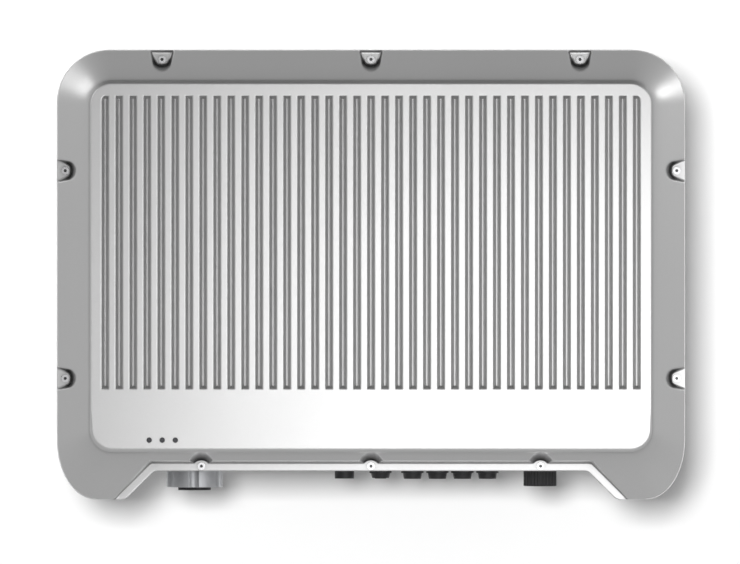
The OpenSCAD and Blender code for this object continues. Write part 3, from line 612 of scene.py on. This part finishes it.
# %% [markdown]
# ## The front cover, from its outline inwards
#
# The cover is one casting: a flange, a bezel that rises from its edge to a raised panel, and ten pockets
# for screws cut into the bezel. A chain of Boolean cuts could make it, but their edges stay knife-sharp.
# Here it is a cloth of rings instead. Each ring goes once round the cover through the same number of
# points, and its height is worked out from the depths of the bezel, the walls and the pockets, blended
# where they meet, which gives every edge the soft radius of a casting.

# %% Sizes of the cover, in millimetres
cover_low, cover_high = (np.array(corner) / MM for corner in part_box("front_cover"))
half_w, top_z, foot_z = cover_high[0], cover_high[2], cover_low[2]
seam_d, panel_d = -cover_high[1], -cover_low[1]
SHELF_RISE, RIM_RISE = 4.0, 8.0
shelf_d, rim_d = seam_d + SHELF_RISE, seam_d + RIM_RISE
TOP_CORNER = 48.0
FOOT_CORNER = (35.0, 54.0)
FOOT_W, RECESS_H = 62.5, 25.7
FOOT_FILLET, RECESS_FILLET = 8.0, 9.0
RIM_INSET, STRIP_W = 0.3, 7.0
PANEL_CORNER, PANEL_EDGE = 20.0, 1.5
BEZEL_W, BEZEL_FOOT_W = 30.7, 43.5
HALF_BEND = math.radians(22.5)
recess_z = foot_z + RECESS_H
recess_x = half_w - FOOT_W - RECESS_H - RECESS_FILLET * math.tan(HALF_BEND)
panel_x, panel_top, panel_foot = half_w - BEZEL_W, top_z - BEZEL_W, foot_z + BEZEL_FOOT_W
print("cover", 2 * half_w, "by", top_z - foot_z, "panel", 2 * panel_x, "by", panel_top - panel_foot)

# %% [markdown]
# ## Rings
#
# Only the left half of a ring is worked out, from the top middle to the bottom middle, and the right half
# is its mirror image. Points stand half a millimetre apart beside the screws, where the pockets need them,
# and four millimetres apart elsewhere.

# %% Walking round an outline
FINE, COARSE, REACH = 0.5, 8, 15.0
ARC_STEPS, FILLET_STEPS, FOOT_STEPS, SLANT_STEPS = 16, 8, 7, 21
LEAST_TIP, LEAST_BEND, BEND_SHRINK = 1.0, 2.5, 0.6
top_screws = [p[0] for p in screw_places if p[2] > panel_top]
side_screws = [p[2] for p in screw_places if p[0] < -panel_x]
foot_screws = [p[0] for p in screw_places if p[2] < panel_foot]


def arc(middle_x, middle_z, radius_x, radius_z, first, last, steps=ARC_STEPS):
    turn = np.radians(np.linspace(first, last, steps + 1))
    return np.column_stack([middle_x + radius_x * np.cos(turn), middle_z + radius_z * np.sin(turn)])


def shares(first, last, screws):
    """Shares of the way from first to last, close together beside the screws and wide apart elsewhere."""
    marks = np.arange(min(first, last), max(first, last), FINE)[1:]
    near = np.abs(marks[:, None] - np.array(screws)).min(1) < REACH
    kept = marks[near | (np.arange(len(marks)) % COARSE == 0)]
    return np.sort((kept - first) / (last - first))


top_shares = shares(0.0, TOP_CORNER - half_w, top_screws)
side_shares = shares(top_z - TOP_CORNER, foot_z + FOOT_CORNER[1], side_screws)
recess_shares = shares(-recess_x, 0.0, foot_screws)
foot_shares = np.linspace(0.0, 1.0, FOOT_STEPS + 1)[1:-1]
slant_shares = np.linspace(0.0, 1.0, SLANT_STEPS + 1)[1:-1]


def straight(a, b, along):
    return np.asarray(a) + np.outer(along, np.asarray(b) - np.asarray(a))


def closed(left):
    """A left half from top to bottom, and its mirror image, as one ring."""
    right = left[1:-1][::-1] * (-1.0, 1.0)
    return np.vstack([left, right])


def corners(inset, strip):
    """The arcs of the left half of the outline, moved in by inset, and by strip along the recess."""
    tip = max(FOOT_FILLET - inset, LEAST_TIP)
    tip_x = FOOT_W - half_w + inset - strip * math.sqrt(2.0) - math.tan(HALF_BEND) * tip
    bend = max(RECESS_FILLET - BEND_SHRINK * strip, LEAST_BEND)
    out = (RECESS_FILLET + strip - bend) / math.cos(HALF_BEND)
    bend_x = -recess_x - out * math.sin(HALF_BEND)
    bend_z = recess_z + strip - bend
    wide, high = FOOT_CORNER
    return [
        arc(TOP_CORNER - half_w, top_z - TOP_CORNER, TOP_CORNER - inset, TOP_CORNER - inset, 90, 180),
        arc(wide - half_w, foot_z + high, wide - inset, high - inset, 180, 270),
        arc(tip_x, foot_z + inset + tip, tip, tip, 270, 315, FILLET_STEPS),
        arc(bend_x, bend_z, bend, bend, 135, 90, FILLET_STEPS),
    ]


def outline(inset, strip):
    """The cover's outline, moved in by inset, and by strip along the recess."""
    top, foot, tip, bend = corners(inset, strip)
    left = [
        [(0.0, top_z - inset)],
        straight((0.0, top_z - inset), top[0], top_shares),
        top,
        straight(top[-1], foot[0], side_shares),
        foot,
        straight(foot[-1], tip[0], foot_shares),
        tip,
        straight(tip[-1], bend[0], slant_shares),
        bend,
        straight(bend[-1], (0.0, bend[-1][1]), recess_shares),
        [(0.0, bend[-1][1])],
    ]
    return closed(np.vstack(left))


def panel_outline(inset):
    """The panel's outline, with one point for each point of the cover's outline."""
    radius = PANEL_CORNER - inset
    side_x = PANEL_CORNER - panel_x
    top = arc(side_x, panel_top - PANEL_CORNER, radius, radius, 90, 180)
    foot = arc(side_x, panel_foot + PANEL_CORNER, radius, radius, 180, 270)
    below = outline(RIM_INSET, STRIP_W)[: RING // 2 + 1, 0]
    below = below[-(RING // 2 + 1 - BELOW):]
    x = np.interp(below, [FOOT_CORNER[0] - half_w, -recess_x, 0.0], [side_x, -recess_x, 0.0])
    left = [
        [(0.0, panel_top - inset)],
        straight((0.0, panel_top - inset), top[0], top_shares),
        top,
        straight(top[-1], foot[0], side_shares),
        foot,
        np.column_stack([x, np.full(len(x), panel_foot + inset)]),
    ]
    return closed(np.vstack(left))


RING = len(outline(0.0, 0.0))
BELOW = 1 + len(top_shares) + len(side_shares) + 2 * (ARC_STEPS + 1)
edge = outline(0.0, 0.0)
print("each ring has", RING, "points")

# %% [markdown]
# ## Depths
#
# Two depths meet in an edge. The lesser of the two is the cut, and a smooth minimum rounds the edge between
# them. A pocket is a cone round its screw whose sides flare towards the cover's edge, so its depth grows
# with the distance from its rounded floor. The bezel's own depth follows a gentle curve that steepens as
# it climbs, and ends in a short steep step at the panel.

# %% Depth of the bezel, the walls and the pockets
# Radius of the floor beside the screw and beyond it, lean of the wall at the same two places, and flare
POCKET = (5.9, 5.0, 0.34, 0.37, 22.0)
NOTCH = (7.2, 5.4, 0.28, 0.29, 0.0)
POCKET_START, POCKET_REACH, POCKET_BLEND = 2.6, 32.0, 1.2
# How far a wall leans in for each millimetre that it climbs, and the length over which it is rounded
RIM_LEAN, RIM_BLEND = 0.13, 1.6
BAY_LEAN, BAY_BLEND, BAY_CORNER = 0.15, 0.4, 1.5
LIP_LEAN, LIP_BLEND = 0.9, 0.6
# Weights and powers of the bezel's curve: an even slope, the gentle curve and the steep step
BEZEL_CURVE = ((0.72, 1), (0.14, 4), (0.14, 26))
bezel_rise = panel_d - PANEL_EDGE - rim_d
print("the bezel rises", round(bezel_rise, 1), "mm")


def mix(a, b, share):
    return a + (b - a) * share


def smooth_min(a, b, blend):
    """The lesser of two depths, with a rounded edge where they cross."""
    return np.minimum(a, b) - np.maximum(blend - np.abs(a - b), 0.0) ** 2 / (4.0 * blend)


def smooth_ramp(a, blend):
    """0 below zero and a itself above it, with a rounded bend between them."""
    return np.maximum(a, 0.0) + np.maximum(blend - np.abs(a), 0.0) ** 2 / (4.0 * blend)


def pocket(along, inward, shape):
    """Depth of a pocket. along and inward are distances from its screw, the second away from the edge."""
    side_r, inner_r, side_draft, inner_draft, flare = shape
    lean = math.radians(flare)
    along = np.abs(along)
    angle = np.arctan2(inward, along)
    side = along * math.cos(lean) + inward * math.sin(lean)
    reach = np.where(angle < lean, side, np.hypot(along, inward))
    turn = np.sin(np.clip((angle - lean) / (math.pi / 2 - lean), 0.0, 1.0) * math.pi / 2) ** 2
    radius = mix(side_r**-2.0, inner_r**-2.0, turn) ** -0.5
    draft = mix(side_draft, inner_draft, turn)
    return shelf_d + smooth_ramp((reach - radius) / draft, POCKET_BLEND)


def bay_distance(x, z):
    """Distance in from the connector recess, whose upper corners are nearly sharp."""
    across, up = np.abs(x) - recess_x, z - (recess_z - RECESS_FILLET)
    slant = (across + up) / math.sqrt(2.0)
    return -smooth_min(-up, -slant, BAY_CORNER) - RECESS_FILLET


def bezel_share(ring, rim, panel):
    """How far up the bezel each point of a ring is: 0 at its rim and 1 at the panel."""
    across = np.hypot(*(ring - rim).T) / np.hypot(*(panel - rim).T)
    rim_z = foot_z + RIM_INSET
    climb = (ring[:, 1] - rim_z) / (panel_foot - rim_z)
    index = np.arange(RING)
    below = (index >= BELOW) & (index <= RING - BELOW)
    return np.clip(np.where(below, climb, across), 0.0, 1.0)


def cover_depth(ring, share, rim_distance):
    """Distance from the wall to the cover's surface at each point of a ring."""
    x, z = ring.T
    depth = rim_d + bezel_rise * sum(weight * share**power for weight, power in BEZEL_CURVE)
    rim_wall = shelf_d + np.maximum(rim_distance - RIM_INSET, 0.0) / RIM_LEAN
    bay_wall = shelf_d + np.maximum(bay_distance(x, z) - STRIP_W, 0.0) / BAY_LEAN
    depth = smooth_min(depth, rim_wall, RIM_BLEND)
    depth = smooth_min(depth, bay_wall, BAY_BLEND)
    cut = np.full(len(x), np.inf)
    for place in screw_places:
        if place[2] > panel_top:
            inward = place[2] - z
            hole = pocket(x - place[0], inward, POCKET)
            hole = hole + smooth_ramp((POCKET_START - (top_z - z)) / LIP_LEAN, LIP_BLEND)
        elif place[2] < panel_foot:
            hole = pocket(x - place[0], z - place[2], NOTCH)
        else:
            inward = (place[0] - x) * np.sign(place[0])
            hole = pocket(z - place[2], inward, POCKET)
        near = np.hypot(x - place[0], z - place[2]) < POCKET_REACH
        cut = np.where(near, np.minimum(cut, hole), cut)
    return np.maximum(smooth_min(depth, cut, POCKET_BLEND), shelf_d)


# %% [markdown]
# ## From rings to a skin
#
# Three families of rings make the outside: a narrow one from the flange's edge to the foot of the rim, a
# narrow one up the rim, and a wide one from the rim to the panel. The last few rings roll the bezel over
# into the flat panel: tightly at the top and the sides, and in a slow curve along the bottom.

# %% The cover's outer rings
RIM_W, BAY_RIM_W = 1.2, 2.2
ROLL_MORE, ROLL_REACH = 2.6, 4.5
rim_foot = outline(RIM_INSET, STRIP_W)
rim_top = outline(RIM_INSET + RIM_W, STRIP_W + BAY_RIM_W)
panel_rim = panel_outline(0.0)
soft = np.clip((panel_top - PANEL_CORNER - panel_rim[:, 1]) / (panel_top - PANEL_CORNER - panel_foot), 0, 1)
# The roll widens over the lowest eighth of the panel's height
roll = PANEL_EDGE + ROLL_MORE * np.clip(soft * 8.0 - 7.0, 0.0, 1.0)


def rolled(share):
    """A ring on the panel's rounded edge, which is wider along the bottom."""
    inner = mix(panel_rim, panel_outline(ROLL_REACH), (roll * share / ROLL_REACH)[:, None])
    depth = panel_d - PANEL_EDGE * (1.0 - share) ** 2
    return inner, np.full(RING, depth)


# The flange's edge goes straight up and is then rounded by half a millimetre
outer = [(edge, np.full(RING, d)) for d in (seam_d, seam_d + 0.3, shelf_d - 0.6)]
outer.append((outline(0.15, 0.15), np.full(RING, shelf_d - 0.18)))
between = [(outline(0.2, 0.6), rim_foot, np.linspace(0.0, 1.0, 9))]
between.append((rim_foot, rim_top, np.linspace(0.0, 1.0, 10)[1:]))
between.append((rim_top, panel_rim, np.append(np.linspace(0.0, 0.95, 42)[1:], (0.965, 0.98, 0.99, 1.0))))
for start_ring, end_ring, steps in between:
    for step in steps:
        ring = mix(start_ring, end_ring, step)
        share = bezel_share(ring, rim_foot, panel_rim)
        outer.append((ring, cover_depth(ring, share, np.hypot(*(ring - edge).T))))
outer.extend(rolled(share) for share in (0.2, 0.45, 0.7, 1.0))
print(len(outer), "rings outside")

# %% [markdown]
# ## Grooves and the flat face
#
# Each groove is a nest of rounded rectangles that sink from a soft lip down a steep wall to a rounded
# floor. The face between 39 grooves and three lamp holes is flat, so it needs no grid: a constrained
# Delaunay triangulation fills it between those edges in one call.

# %% One groove as nested loops
GROOVES, PITCH = 39, 12.65
GROOVE_HALF_W, GROOVE_DEPTH, GROOVE_RUN = 4.1, 5.6, 4.4
LIP_R, FLOOR_R, FLOOR_FLAT = 1.25, 1.0, 0.15
GROOVE_TOP, GROOVE_FOOT = top_z - 41.5, foot_z + 99.6
END_R, CUT_R, END_STEPS, END_STRAIGHT = 1.0, 5.2, 6, 0.8
LEAST_HALF_W, LEAST_RUN = 0.2, 0.3
WALL_TILT = 66.0
# The lip and the floor are arcs, and the straight wall between them goes on at the tilt that they reach
tilts = np.radians(np.linspace(0.0, WALL_TILT, 5))
lip = np.column_stack([np.sin(tilts), 1.0 - np.cos(tilts)]) * LIP_R
floor_arc = np.column_stack([np.sin(tilts), 1.0 - np.cos(tilts)])[::-1] * FLOOR_R
across_groove = np.vstack([lip, (GROOVE_HALF_W - FLOOR_FLAT, GROOVE_DEPTH) - floor_arc])
GROOVE_IN, GROOVE_DOWN = (across_groove / (GROOVE_HALF_W, GROOVE_DEPTH)).T


def groove_loop(middle_x, inward, cut_corner):
    """A loop at a share of the way in. cut_corner is -1 or 1 where an outer top corner is cut round."""
    half, run = GROOVE_HALF_W * (1.0 - inward), GROOVE_RUN * inward
    points = []
    for side, end, first in ((1, 1, 0), (-1, 1, 90), (-1, -1, 180), (1, -1, 270)):
        radius = CUT_R if end == 1 and side == cut_corner else END_R
        wide = min(max(radius - GROOVE_HALF_W * inward, LEAST_HALF_W), half * 0.98)
        high = max(radius - run, LEAST_RUN)
        x = middle_x + side * (half - wide)
        z = (GROOVE_TOP - run - high) if end == 1 else (GROOVE_FOOT + run + high)
        bend = arc(x, z, wide, high, first, first + 90, END_STEPS)
        tail = (bend[:1] if side == end else bend[-1:]) - (0.0, end * END_STRAIGHT)
        points.extend([tail, bend] if side == end else [bend, tail])
    return np.vstack(points)


def groove(index):
    """The loops of one groove from its lip to its floor, each with its depth."""
    middle_x = (index - (GROOVES - 1) / 2) * PITCH
    cut_corner = {0: -1, GROOVES - 1: 1}.get(index, 0)
    steps = zip(GROOVE_IN, GROOVE_DOWN)
    return [(groove_loop(middle_x, a, cut_corner), panel_d - GROOVE_DEPTH * down) for a, down in steps]


def circle(x, z, radius, count=32):
    return arc(x, z, radius, radius, 0, 360, count)[:-1]


LENS_R = 2.25
print("a groove has", len(groove(0)), "loops of", len(groove(0)[0][0]), "points")

# %% [markdown]
# ## A mesh that grows loop by loop
#
# The skin is put together in plain Python: loops of points, bands of four-sided faces between two loops,
# and flat faces with holes. Blender gets the finished lists in one call. Smooth shading alone would let the
# rounded edge of a flat face bend the light on the face as well, so the points round each flat face get its
# own normal as a custom normal.

# %% Loops, bands and flat faces
class Skin:
    """Vertices and faces of a mesh, in millimetres as x, z and depth from the wall."""

    def __init__(self):
        self.points = []
        self.faces = []
        self.flat = []

    def loop(self, outline_points, depth):
        """Adds one closed loop and returns the numbers of its vertices."""
        first = len(self.points)
        depths = np.broadcast_to(depth, len(outline_points))
        self.points.extend((x * MM, -d * MM, z * MM) for (x, z), d in zip(outline_points, depths))
        return list(range(first, len(self.points)))

    def bridge(self, a, b):
        """A band of four-sided faces between two loops with the same number of points."""
        count = len(a)
        for i in range(count):
            j = (i + 1) % count
            self.faces.append((a[i], a[j], b[j], b[i]))

    def fill(self, border, holes, side):
        """A flat face inside a border and outside its holes, whose normal is along Y towards side.
        The holes are convex, so a triangle with all its corners on one hole lies in that hole."""
        loops = [border, *holes]
        numbers = [n for loop in loops for n in loop]
        owner = [i for i, loop in enumerate(loops) for n in loop]
        flat = [Vector((self.points[n][0], self.points[n][2])) for n in numbers]
        first, edges = 0, []
        for loop in loops:
            edges.extend((first + i, first + (i + 1) % len(loop)) for i in range(len(loop)))
            first += len(loop)
        made = delaunay_2d_cdt(flat, edges, [], 1, 1e-9)
        for face in made[2]:
            old = [made[3][i][0] for i in face]
            owners = {owner[i] for i in old}
            if len(owners) > 1 or owners == {0}:
                self.faces.append(tuple(numbers[i] for i in old))
        self.flat.extend((n, side) for n in numbers)


def object_from(skin, name, slot, body="inverter"):
    """The skin as a smooth-shaded object whose flat faces keep exactly flat normals."""
    mesh = bpy.data.meshes.new(name)
    mesh.from_pydata(skin.points, [], skin.faces)
    work = bmesh.new()
    work.from_mesh(mesh)
    bmesh.ops.recalc_face_normals(work, faces=work.faces)
    work.to_mesh(mesh)
    work.free()
    mesh.shade_smooth()
    normals = np.zeros(len(mesh.vertices) * 3, np.float32)
    mesh.vertices.foreach_get("normal", normals)
    normals = normals.reshape(-1, 3)
    for number, side in skin.flat:
        normals[number] = (0.0, side, 0.0)
    mesh.normals_split_custom_set_from_vertices(normals)
    made = bpy.data.objects.new(name, mesh)
    scene.collection.objects.link(made)
    made.data.materials.append(finishes[slot])
    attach(made, body)
    print(name, len(mesh.vertices), "vertices", len(mesh.polygons), "faces")
    return made


# %% [markdown]
# ## The cover's outside and inside
#
# The rings, the grooves and the lamp holes are bridged one after another, and the flat face is filled last.
# The inside is never seen, but a skin without one would be a sheet with no thickness. It is simple: the
# mouth over the housing, a step, and the hollow behind the panel.

# %% The cover's skin
MOUTH_INSET, MOUTH_RISE, HOLLOW_INSET, PANEL_T = 20.0, 10.0, 2.0, 10.5
# Extra radius of each ring of a lamp hole, and how far below the panel it lies
LAMP_HOLE = ((0.35, 0.0), (0.08, 0.25), (0.05, PANEL_T))
skin = Skin()
rings = [skin.loop(points, depth) for points, depth in outer]
for lower, upper in zip(rings, rings[1:]):
    skin.bridge(lower, upper)
holes = []
for index in range(GROOVES):
    loops = [skin.loop(points, depth) for points, depth in groove(index)]
    for lower, upper in zip(loops, loops[1:]):
        skin.bridge(lower, upper)
    skin.fill(loops[-1], [], -1.0)
    holes.append(loops[0])
tubes = []
for place in lens_places:
    hole_rings = [(circle(place[0], place[2], LENS_R + gap), panel_d - down) for gap, down in LAMP_HOLE]
    loops = [skin.loop(points, depth) for points, depth in hole_rings]
    for lower, upper in zip(loops, loops[1:]):
        skin.bridge(lower, upper)
    holes.append(loops[0])
    tubes.append(loops[-1])
skin.fill(rings[-1], holes, -1.0)

mouth, hollow = outline(MOUTH_INSET, MOUTH_INSET), panel_outline(HOLLOW_INSET)
inner = [(mouth, seam_d), (mouth, seam_d + MOUTH_RISE)]
inner += [(hollow, seam_d + MOUTH_RISE), (hollow, panel_d - PANEL_T)]
inside = [skin.loop(points, depth) for points, depth in inner]
for lower, upper in zip([rings[0], *inside], inside):
    skin.bridge(lower, upper)
skin.fill(inside[-1], tubes, 1.0)
cover = object_from(skin, "front_cover_skin", "painted_case")
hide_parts("front_cover")

# %% [markdown]
# ## The isolator's knob
#
# The knob is a moulded cup: fluted outside, hollow below, with a bar across the hollow for the fingers. A
# Screw modifier would turn a plain cup, but not the flutes. So each ring here is a circle whose radius dips
# once for every flute, and the rings are bridged one after another, as on a lathe. The bar is a box between
# the walls, and a Bevel rounds every edge, as the mould does.

# %% A fluted cup with a bar across it
FLUTES, STEPS_PER_FLUTE, FLUTE_DIP = 30, 8, 0.6
FLUTE_START, FLUTE_RUN_OUT = 2.0, 0.6
CUP_WALL, CUP_DEPTH, CUP_DRAFT = 2.0, 3.5, 0.3
BAR_HALF, BAR_UP, BAR_INTO_TOP = 2.6, 0.4, 1.0
KNOB_EDGE = 0.4
knob_low, knob_high = (np.array(corner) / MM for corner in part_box("dc_switch_knob"))
knob_at = (knob_low + knob_high) / 2
knob_r = (knob_high[0] - knob_low[0]) / 2
knob_turns = np.arange(FLUTES * STEPS_PER_FLUTE) * 2.0 * math.pi / (FLUTES * STEPS_PER_FLUTE)


def knob_ring(work, radius, z, dip=0.0):
    """A ring round the knob's axis. Its radius dips once for every flute."""
    radii = radius - dip * (0.5 - 0.5 * np.cos(knob_turns * FLUTES)) ** 2
    x, y = knob_at[0] + radii * np.cos(knob_turns), knob_at[1] + radii * np.sin(knob_turns)
    return [work.verts.new((a * MM, b * MM, z * MM)) for a, b in zip(x, y)]


def knob_rings(work):
    """The rings from the edge of the top, down the outside and up into the cup."""
    top, foot = knob_high[2], knob_low[2]
    return [
        knob_ring(work, knob_r, top),
        knob_ring(work, knob_r, top - FLUTE_START),
        knob_ring(work, knob_r, top - FLUTE_START - FLUTE_RUN_OUT, FLUTE_DIP),
        knob_ring(work, knob_r, foot, FLUTE_DIP),
        knob_ring(work, knob_r - CUP_WALL, foot),
        knob_ring(work, knob_r - CUP_WALL - CUP_DRAFT, foot + CUP_DEPTH),
    ]


work = bmesh.new()
cup = knob_rings(work)
for upper, lower in zip(cup, cup[1:]):
    for i in range(len(upper)):
        j = (i + 1) % len(upper)
        work.faces.new((upper[i], upper[j], lower[j], lower[i]))
work.faces.new(cup[0])
work.faces.new(cup[-1])
bar = bmesh.ops.create_cube(work, size=1.0)["verts"]
bar_size = Vector((2 * BAR_HALF, 2 * (knob_r - CUP_WALL), CUP_DEPTH + BAR_INTO_TOP)) * MM
bar_z = knob_low[2] + bar_size.z / MM / 2 + BAR_UP
bmesh.ops.scale(work, vec=bar_size, verts=bar)
bmesh.ops.translate(work, vec=Vector((knob_at[0], knob_at[1], bar_z)) * MM, verts=bar)
bmesh.ops.recalc_face_normals(work, faces=work.faces)
knob_mesh = bpy.data.meshes.new("isolator_knob")
work.to_mesh(knob_mesh)
work.free()
knob_mesh.shade_smooth()
knob_mesh.materials.append(finishes["knob_plastic"])
knob = bpy.data.objects.new("isolator_knob", knob_mesh)
scene.collection.objects.link(knob)
break_edges(knob, KNOB_EDGE)
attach(knob, "isolator")
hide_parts("dc_switch_knob")
print("knob", round(2 * knob_r, 1), "mm across, with", len(knob_mesh.vertices), "vertices")

# %% [markdown]
# ## The wall and the floor
#
# The wall behind the inverter is a matt card that a lamp of its own lights to white, so that the inverter's
# soft shadow falls on it. A little white of its own keeps the shadow's core from going black. The floor is
# a second card. Only the rays that something sees carry this white: those of the camera, and those that a
# mirror or a lens sends on, so that metal and glass show the same background. Light that bounces doesn't,
# so the cards don't light the object. Seen from behind, a card is clear, and never hides the bracket.

# %% Wall card and floor
scene.view_settings.view_transform = "Standard"
WALL_HALF_W, WALL_HALF_H, WALL_Y = 0.46, 0.36, 0.0005
FLOOR_HALF, FLOOR_Z = 5.0, -0.62


def rectangle(half_w, half_h):
    return [(-half_w, -half_h), (half_w, -half_h), (half_w, half_h), (-half_w, half_h)]


def slab(name, corners_at, material):
    """A flat rectangle through four corners, which belongs to the stage."""
    mesh = bpy.data.meshes.new(name)
    mesh.from_pydata(corners_at, [], [(0, 1, 2, 3)])
    mesh.materials.append(material)
    made = bpy.data.objects.new(name, mesh)
    scene.collection.objects.link(made)
    made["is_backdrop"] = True
    return made


def seen_rays(wire):
    """1 for what the camera, a mirror or a lens sees, and 0 for light that bounces on."""
    kinds = ("Is Camera Ray", "Is Glossy Ray", "Is Transmission Ray")
    by_camera, by_mirror, by_lens = (wire.node("ShaderNodeLightPath", out=kind) for kind in kinds)
    by_either = by_mirror.math("MAXIMUM", by_mirror, by_lens)
    return by_camera.math("MAXIMUM", by_camera, by_either)


def card(name, own_white, albedo):
    """Matt card that adds some white of its own. From behind it is clear."""
    made = bpy.data.materials.new(name)
    made.use_nodes = True
    tree = made.node_tree
    tree.nodes.clear()
    behind = Wire(tree, tree.nodes.new("ShaderNodeNewGeometry").outputs["Backfacing"])
    matt = behind.node("ShaderNodeBsdfDiffuse", None, {"Color": (albedo, albedo, albedo, 1.0)})
    glow = behind.node("ShaderNodeEmission", None, {"Strength": seen_rays(behind) * own_white})
    both = behind.node("ShaderNodeAddShader", None, {0: matt, 1: glow})
    clear = behind.node("ShaderNodeBsdfTransparent")
    shown = behind.node("ShaderNodeMixShader", None, {0: behind, 1: both, 2: clear})
    end = tree.nodes.new("ShaderNodeOutputMaterial")
    tree.links.new(shown.socket, end.inputs["Surface"])
    return made


wall_corners = [(x, WALL_Y, z) for x, z in rectangle(WALL_HALF_W, WALL_HALF_H)]
wall_paint = card("wall_card", own_white=0.10, albedo=0.72)
wall = slab("wall_card", wall_corners, wall_paint)
wall.visible_diffuse = False
wall.visible_shadow = False
floor_corners = [(x, y, FLOOR_Z) for x, y in rectangle(FLOOR_HALF, FLOOR_HALF)]
floor_paint = card("floor_card", own_white=0.34, albedo=0.36)
floor = slab("floor", floor_corners, floor_paint)
print("a wall", 2 * WALL_HALF_W, "by", 2 * WALL_HALF_H, "m and a floor at", FLOOR_Z)

# %% [markdown]
# ## The studio round it
#
# A metallic coat shows its surroundings, so the world has to look like a studio in every direction, and it
# is the same for every ray. In front of the inverter it is an even grey, a little brighter to the sides.
# Behind it the studio is white round the horizon. Towards the back it is dark high up and far down, which
# keeps the edges of the casting crisp. The direction of a ray is enough to say all this, in soft steps.

# %% World
FRONT_GREY, SIDES_MORE, POLES_LESS, DARKENING = 0.38, 0.2, 0.05, 0.9
world = bpy.data.worlds.new("studio")
scene.world = world
world.use_nodes = True
tree = world.node_tree
tree.nodes.clear()
sky = Wire(tree, tree.nodes.new("ShaderNodeTexCoord").outputs["Generated"])
side, depth, height = (sky.axis(name) for name in "XYZ")
side, height = side.math("ABSOLUTE", side), height.math("ABSOLUTE", height)
front = side * SIDES_MORE + FRONT_GREY - height.between(0.45, 1.0) * POLES_LESS
back = 1.0 - height.between(0.55, 0.8) * DARKENING
behind = depth.between(0.5, 0.9)
high_behind = height.between(0.6, 0.9) * depth.between(-0.1, 0.45)
level = (front * (1.0 - behind) + back * behind) * (1.0 - high_behind * DARKENING)
shown = sky.node("ShaderNodeBackground", None, {"Color": (1.0, 1.0, 1.0, 1.0), "Strength": level})
end = tree.nodes.new("ShaderNodeOutputWorld")
tree.links.new(shown.socket, end.inputs["Surface"])
print("the world has", len(tree.nodes), "nodes")

# %% [markdown]
# ## Lamps
#
# One wide softbox stands in front and to the right, and gives the panel its slow gradient from grey to
# white. Two small ones at the upper corners put a highlight on the rounded corners of the bezel. Two stand
# behind, for the heat sink. The last is far away in front, a little up and to the left, and lights only the
# wall, where its size gives the shadow a soft edge. Light linking says which pieces each lamp lights: a
# collection of receivers either includes or excludes them.

# %% Lamps
def softbox(name, place, target, size, radiance):
    """A soft rectangular lamp that faces a target. The radiance is how bright its face is."""
    data = bpy.data.lights.new(name, "AREA")
    data.shape = "RECTANGLE"
    data.size, data.size_y = size
    data.energy = radiance * math.pi * size[0] * size[1]
    made = bpy.data.objects.new(name, data)
    made.location = place
    made.rotation_euler = (Vector(target) - Vector(place)).to_track_quat("-Z", "Y").to_euler()
    made.visible_camera = False
    scene.collection.objects.link(made)
    return made


front_lamps = [
    softbox("front", (0.34, -1.34, -0.18), (0.34, 0.0, -0.18), (1.05, 0.70), 1.88),
    softbox("upper_left", (-1.15, -0.54, 0.76), (-0.26, -0.18, 0.17), (0.45, 0.60), 1.4),
    softbox("upper_right", (1.30, -0.64, 0.56), (0.28, -0.18, 0.17), (0.34, 0.34), 3.0),
]
back_lamps = [
    softbox("back_left", (-1.3, 1.6, 0.9), (0.0, -0.08, 0.0), (1.2, 1.2), 2.2),
    softbox("back_right", (1.5, 1.4, 0.4), (0.0, -0.08, 0.0), (0.8, 0.8), 2.0),
]
shadow_lamp = softbox("shadow", (-1.15, -12.0, 1.00), (0.0, -0.1, 0.0), (2.2, 2.2), 98.0)


def link(lamps, name, state, pieces):
    """Lets lamps light only these pieces, or all but these pieces."""
    group = bpy.data.collections.new(name)
    for piece in pieces:
        group.objects.link(piece)
    for entry in group.collection_objects:
        entry.light_linking.link_state = state
    for lamp in lamps:
        lamp.light_linking.receiver_collection = group


link(front_lamps, "not_the_stage", "EXCLUDE", [wall, floor])
link(back_lamps, "not_the_front", "EXCLUDE", [wall, floor, cover])
link([shadow_lamp], "the_wall", "INCLUDE", [wall])
print(len(front_lamps) + len(back_lamps) + 1, "lamps")

# %% [markdown] ## The size of the model, and the end The box of the CAD pieces and the box of all that is drawn are worked out, and the second is printed in millimetres.

# %% Both boxes
boxes = {"cad": cad_box, "visual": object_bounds()}
plain = {name: [list(corner) for corner in box] for name, box in boxes.items()}
print("visual box in mm:", [[round(v / MM, 1) for v in corner] for corner in plain["visual"]])
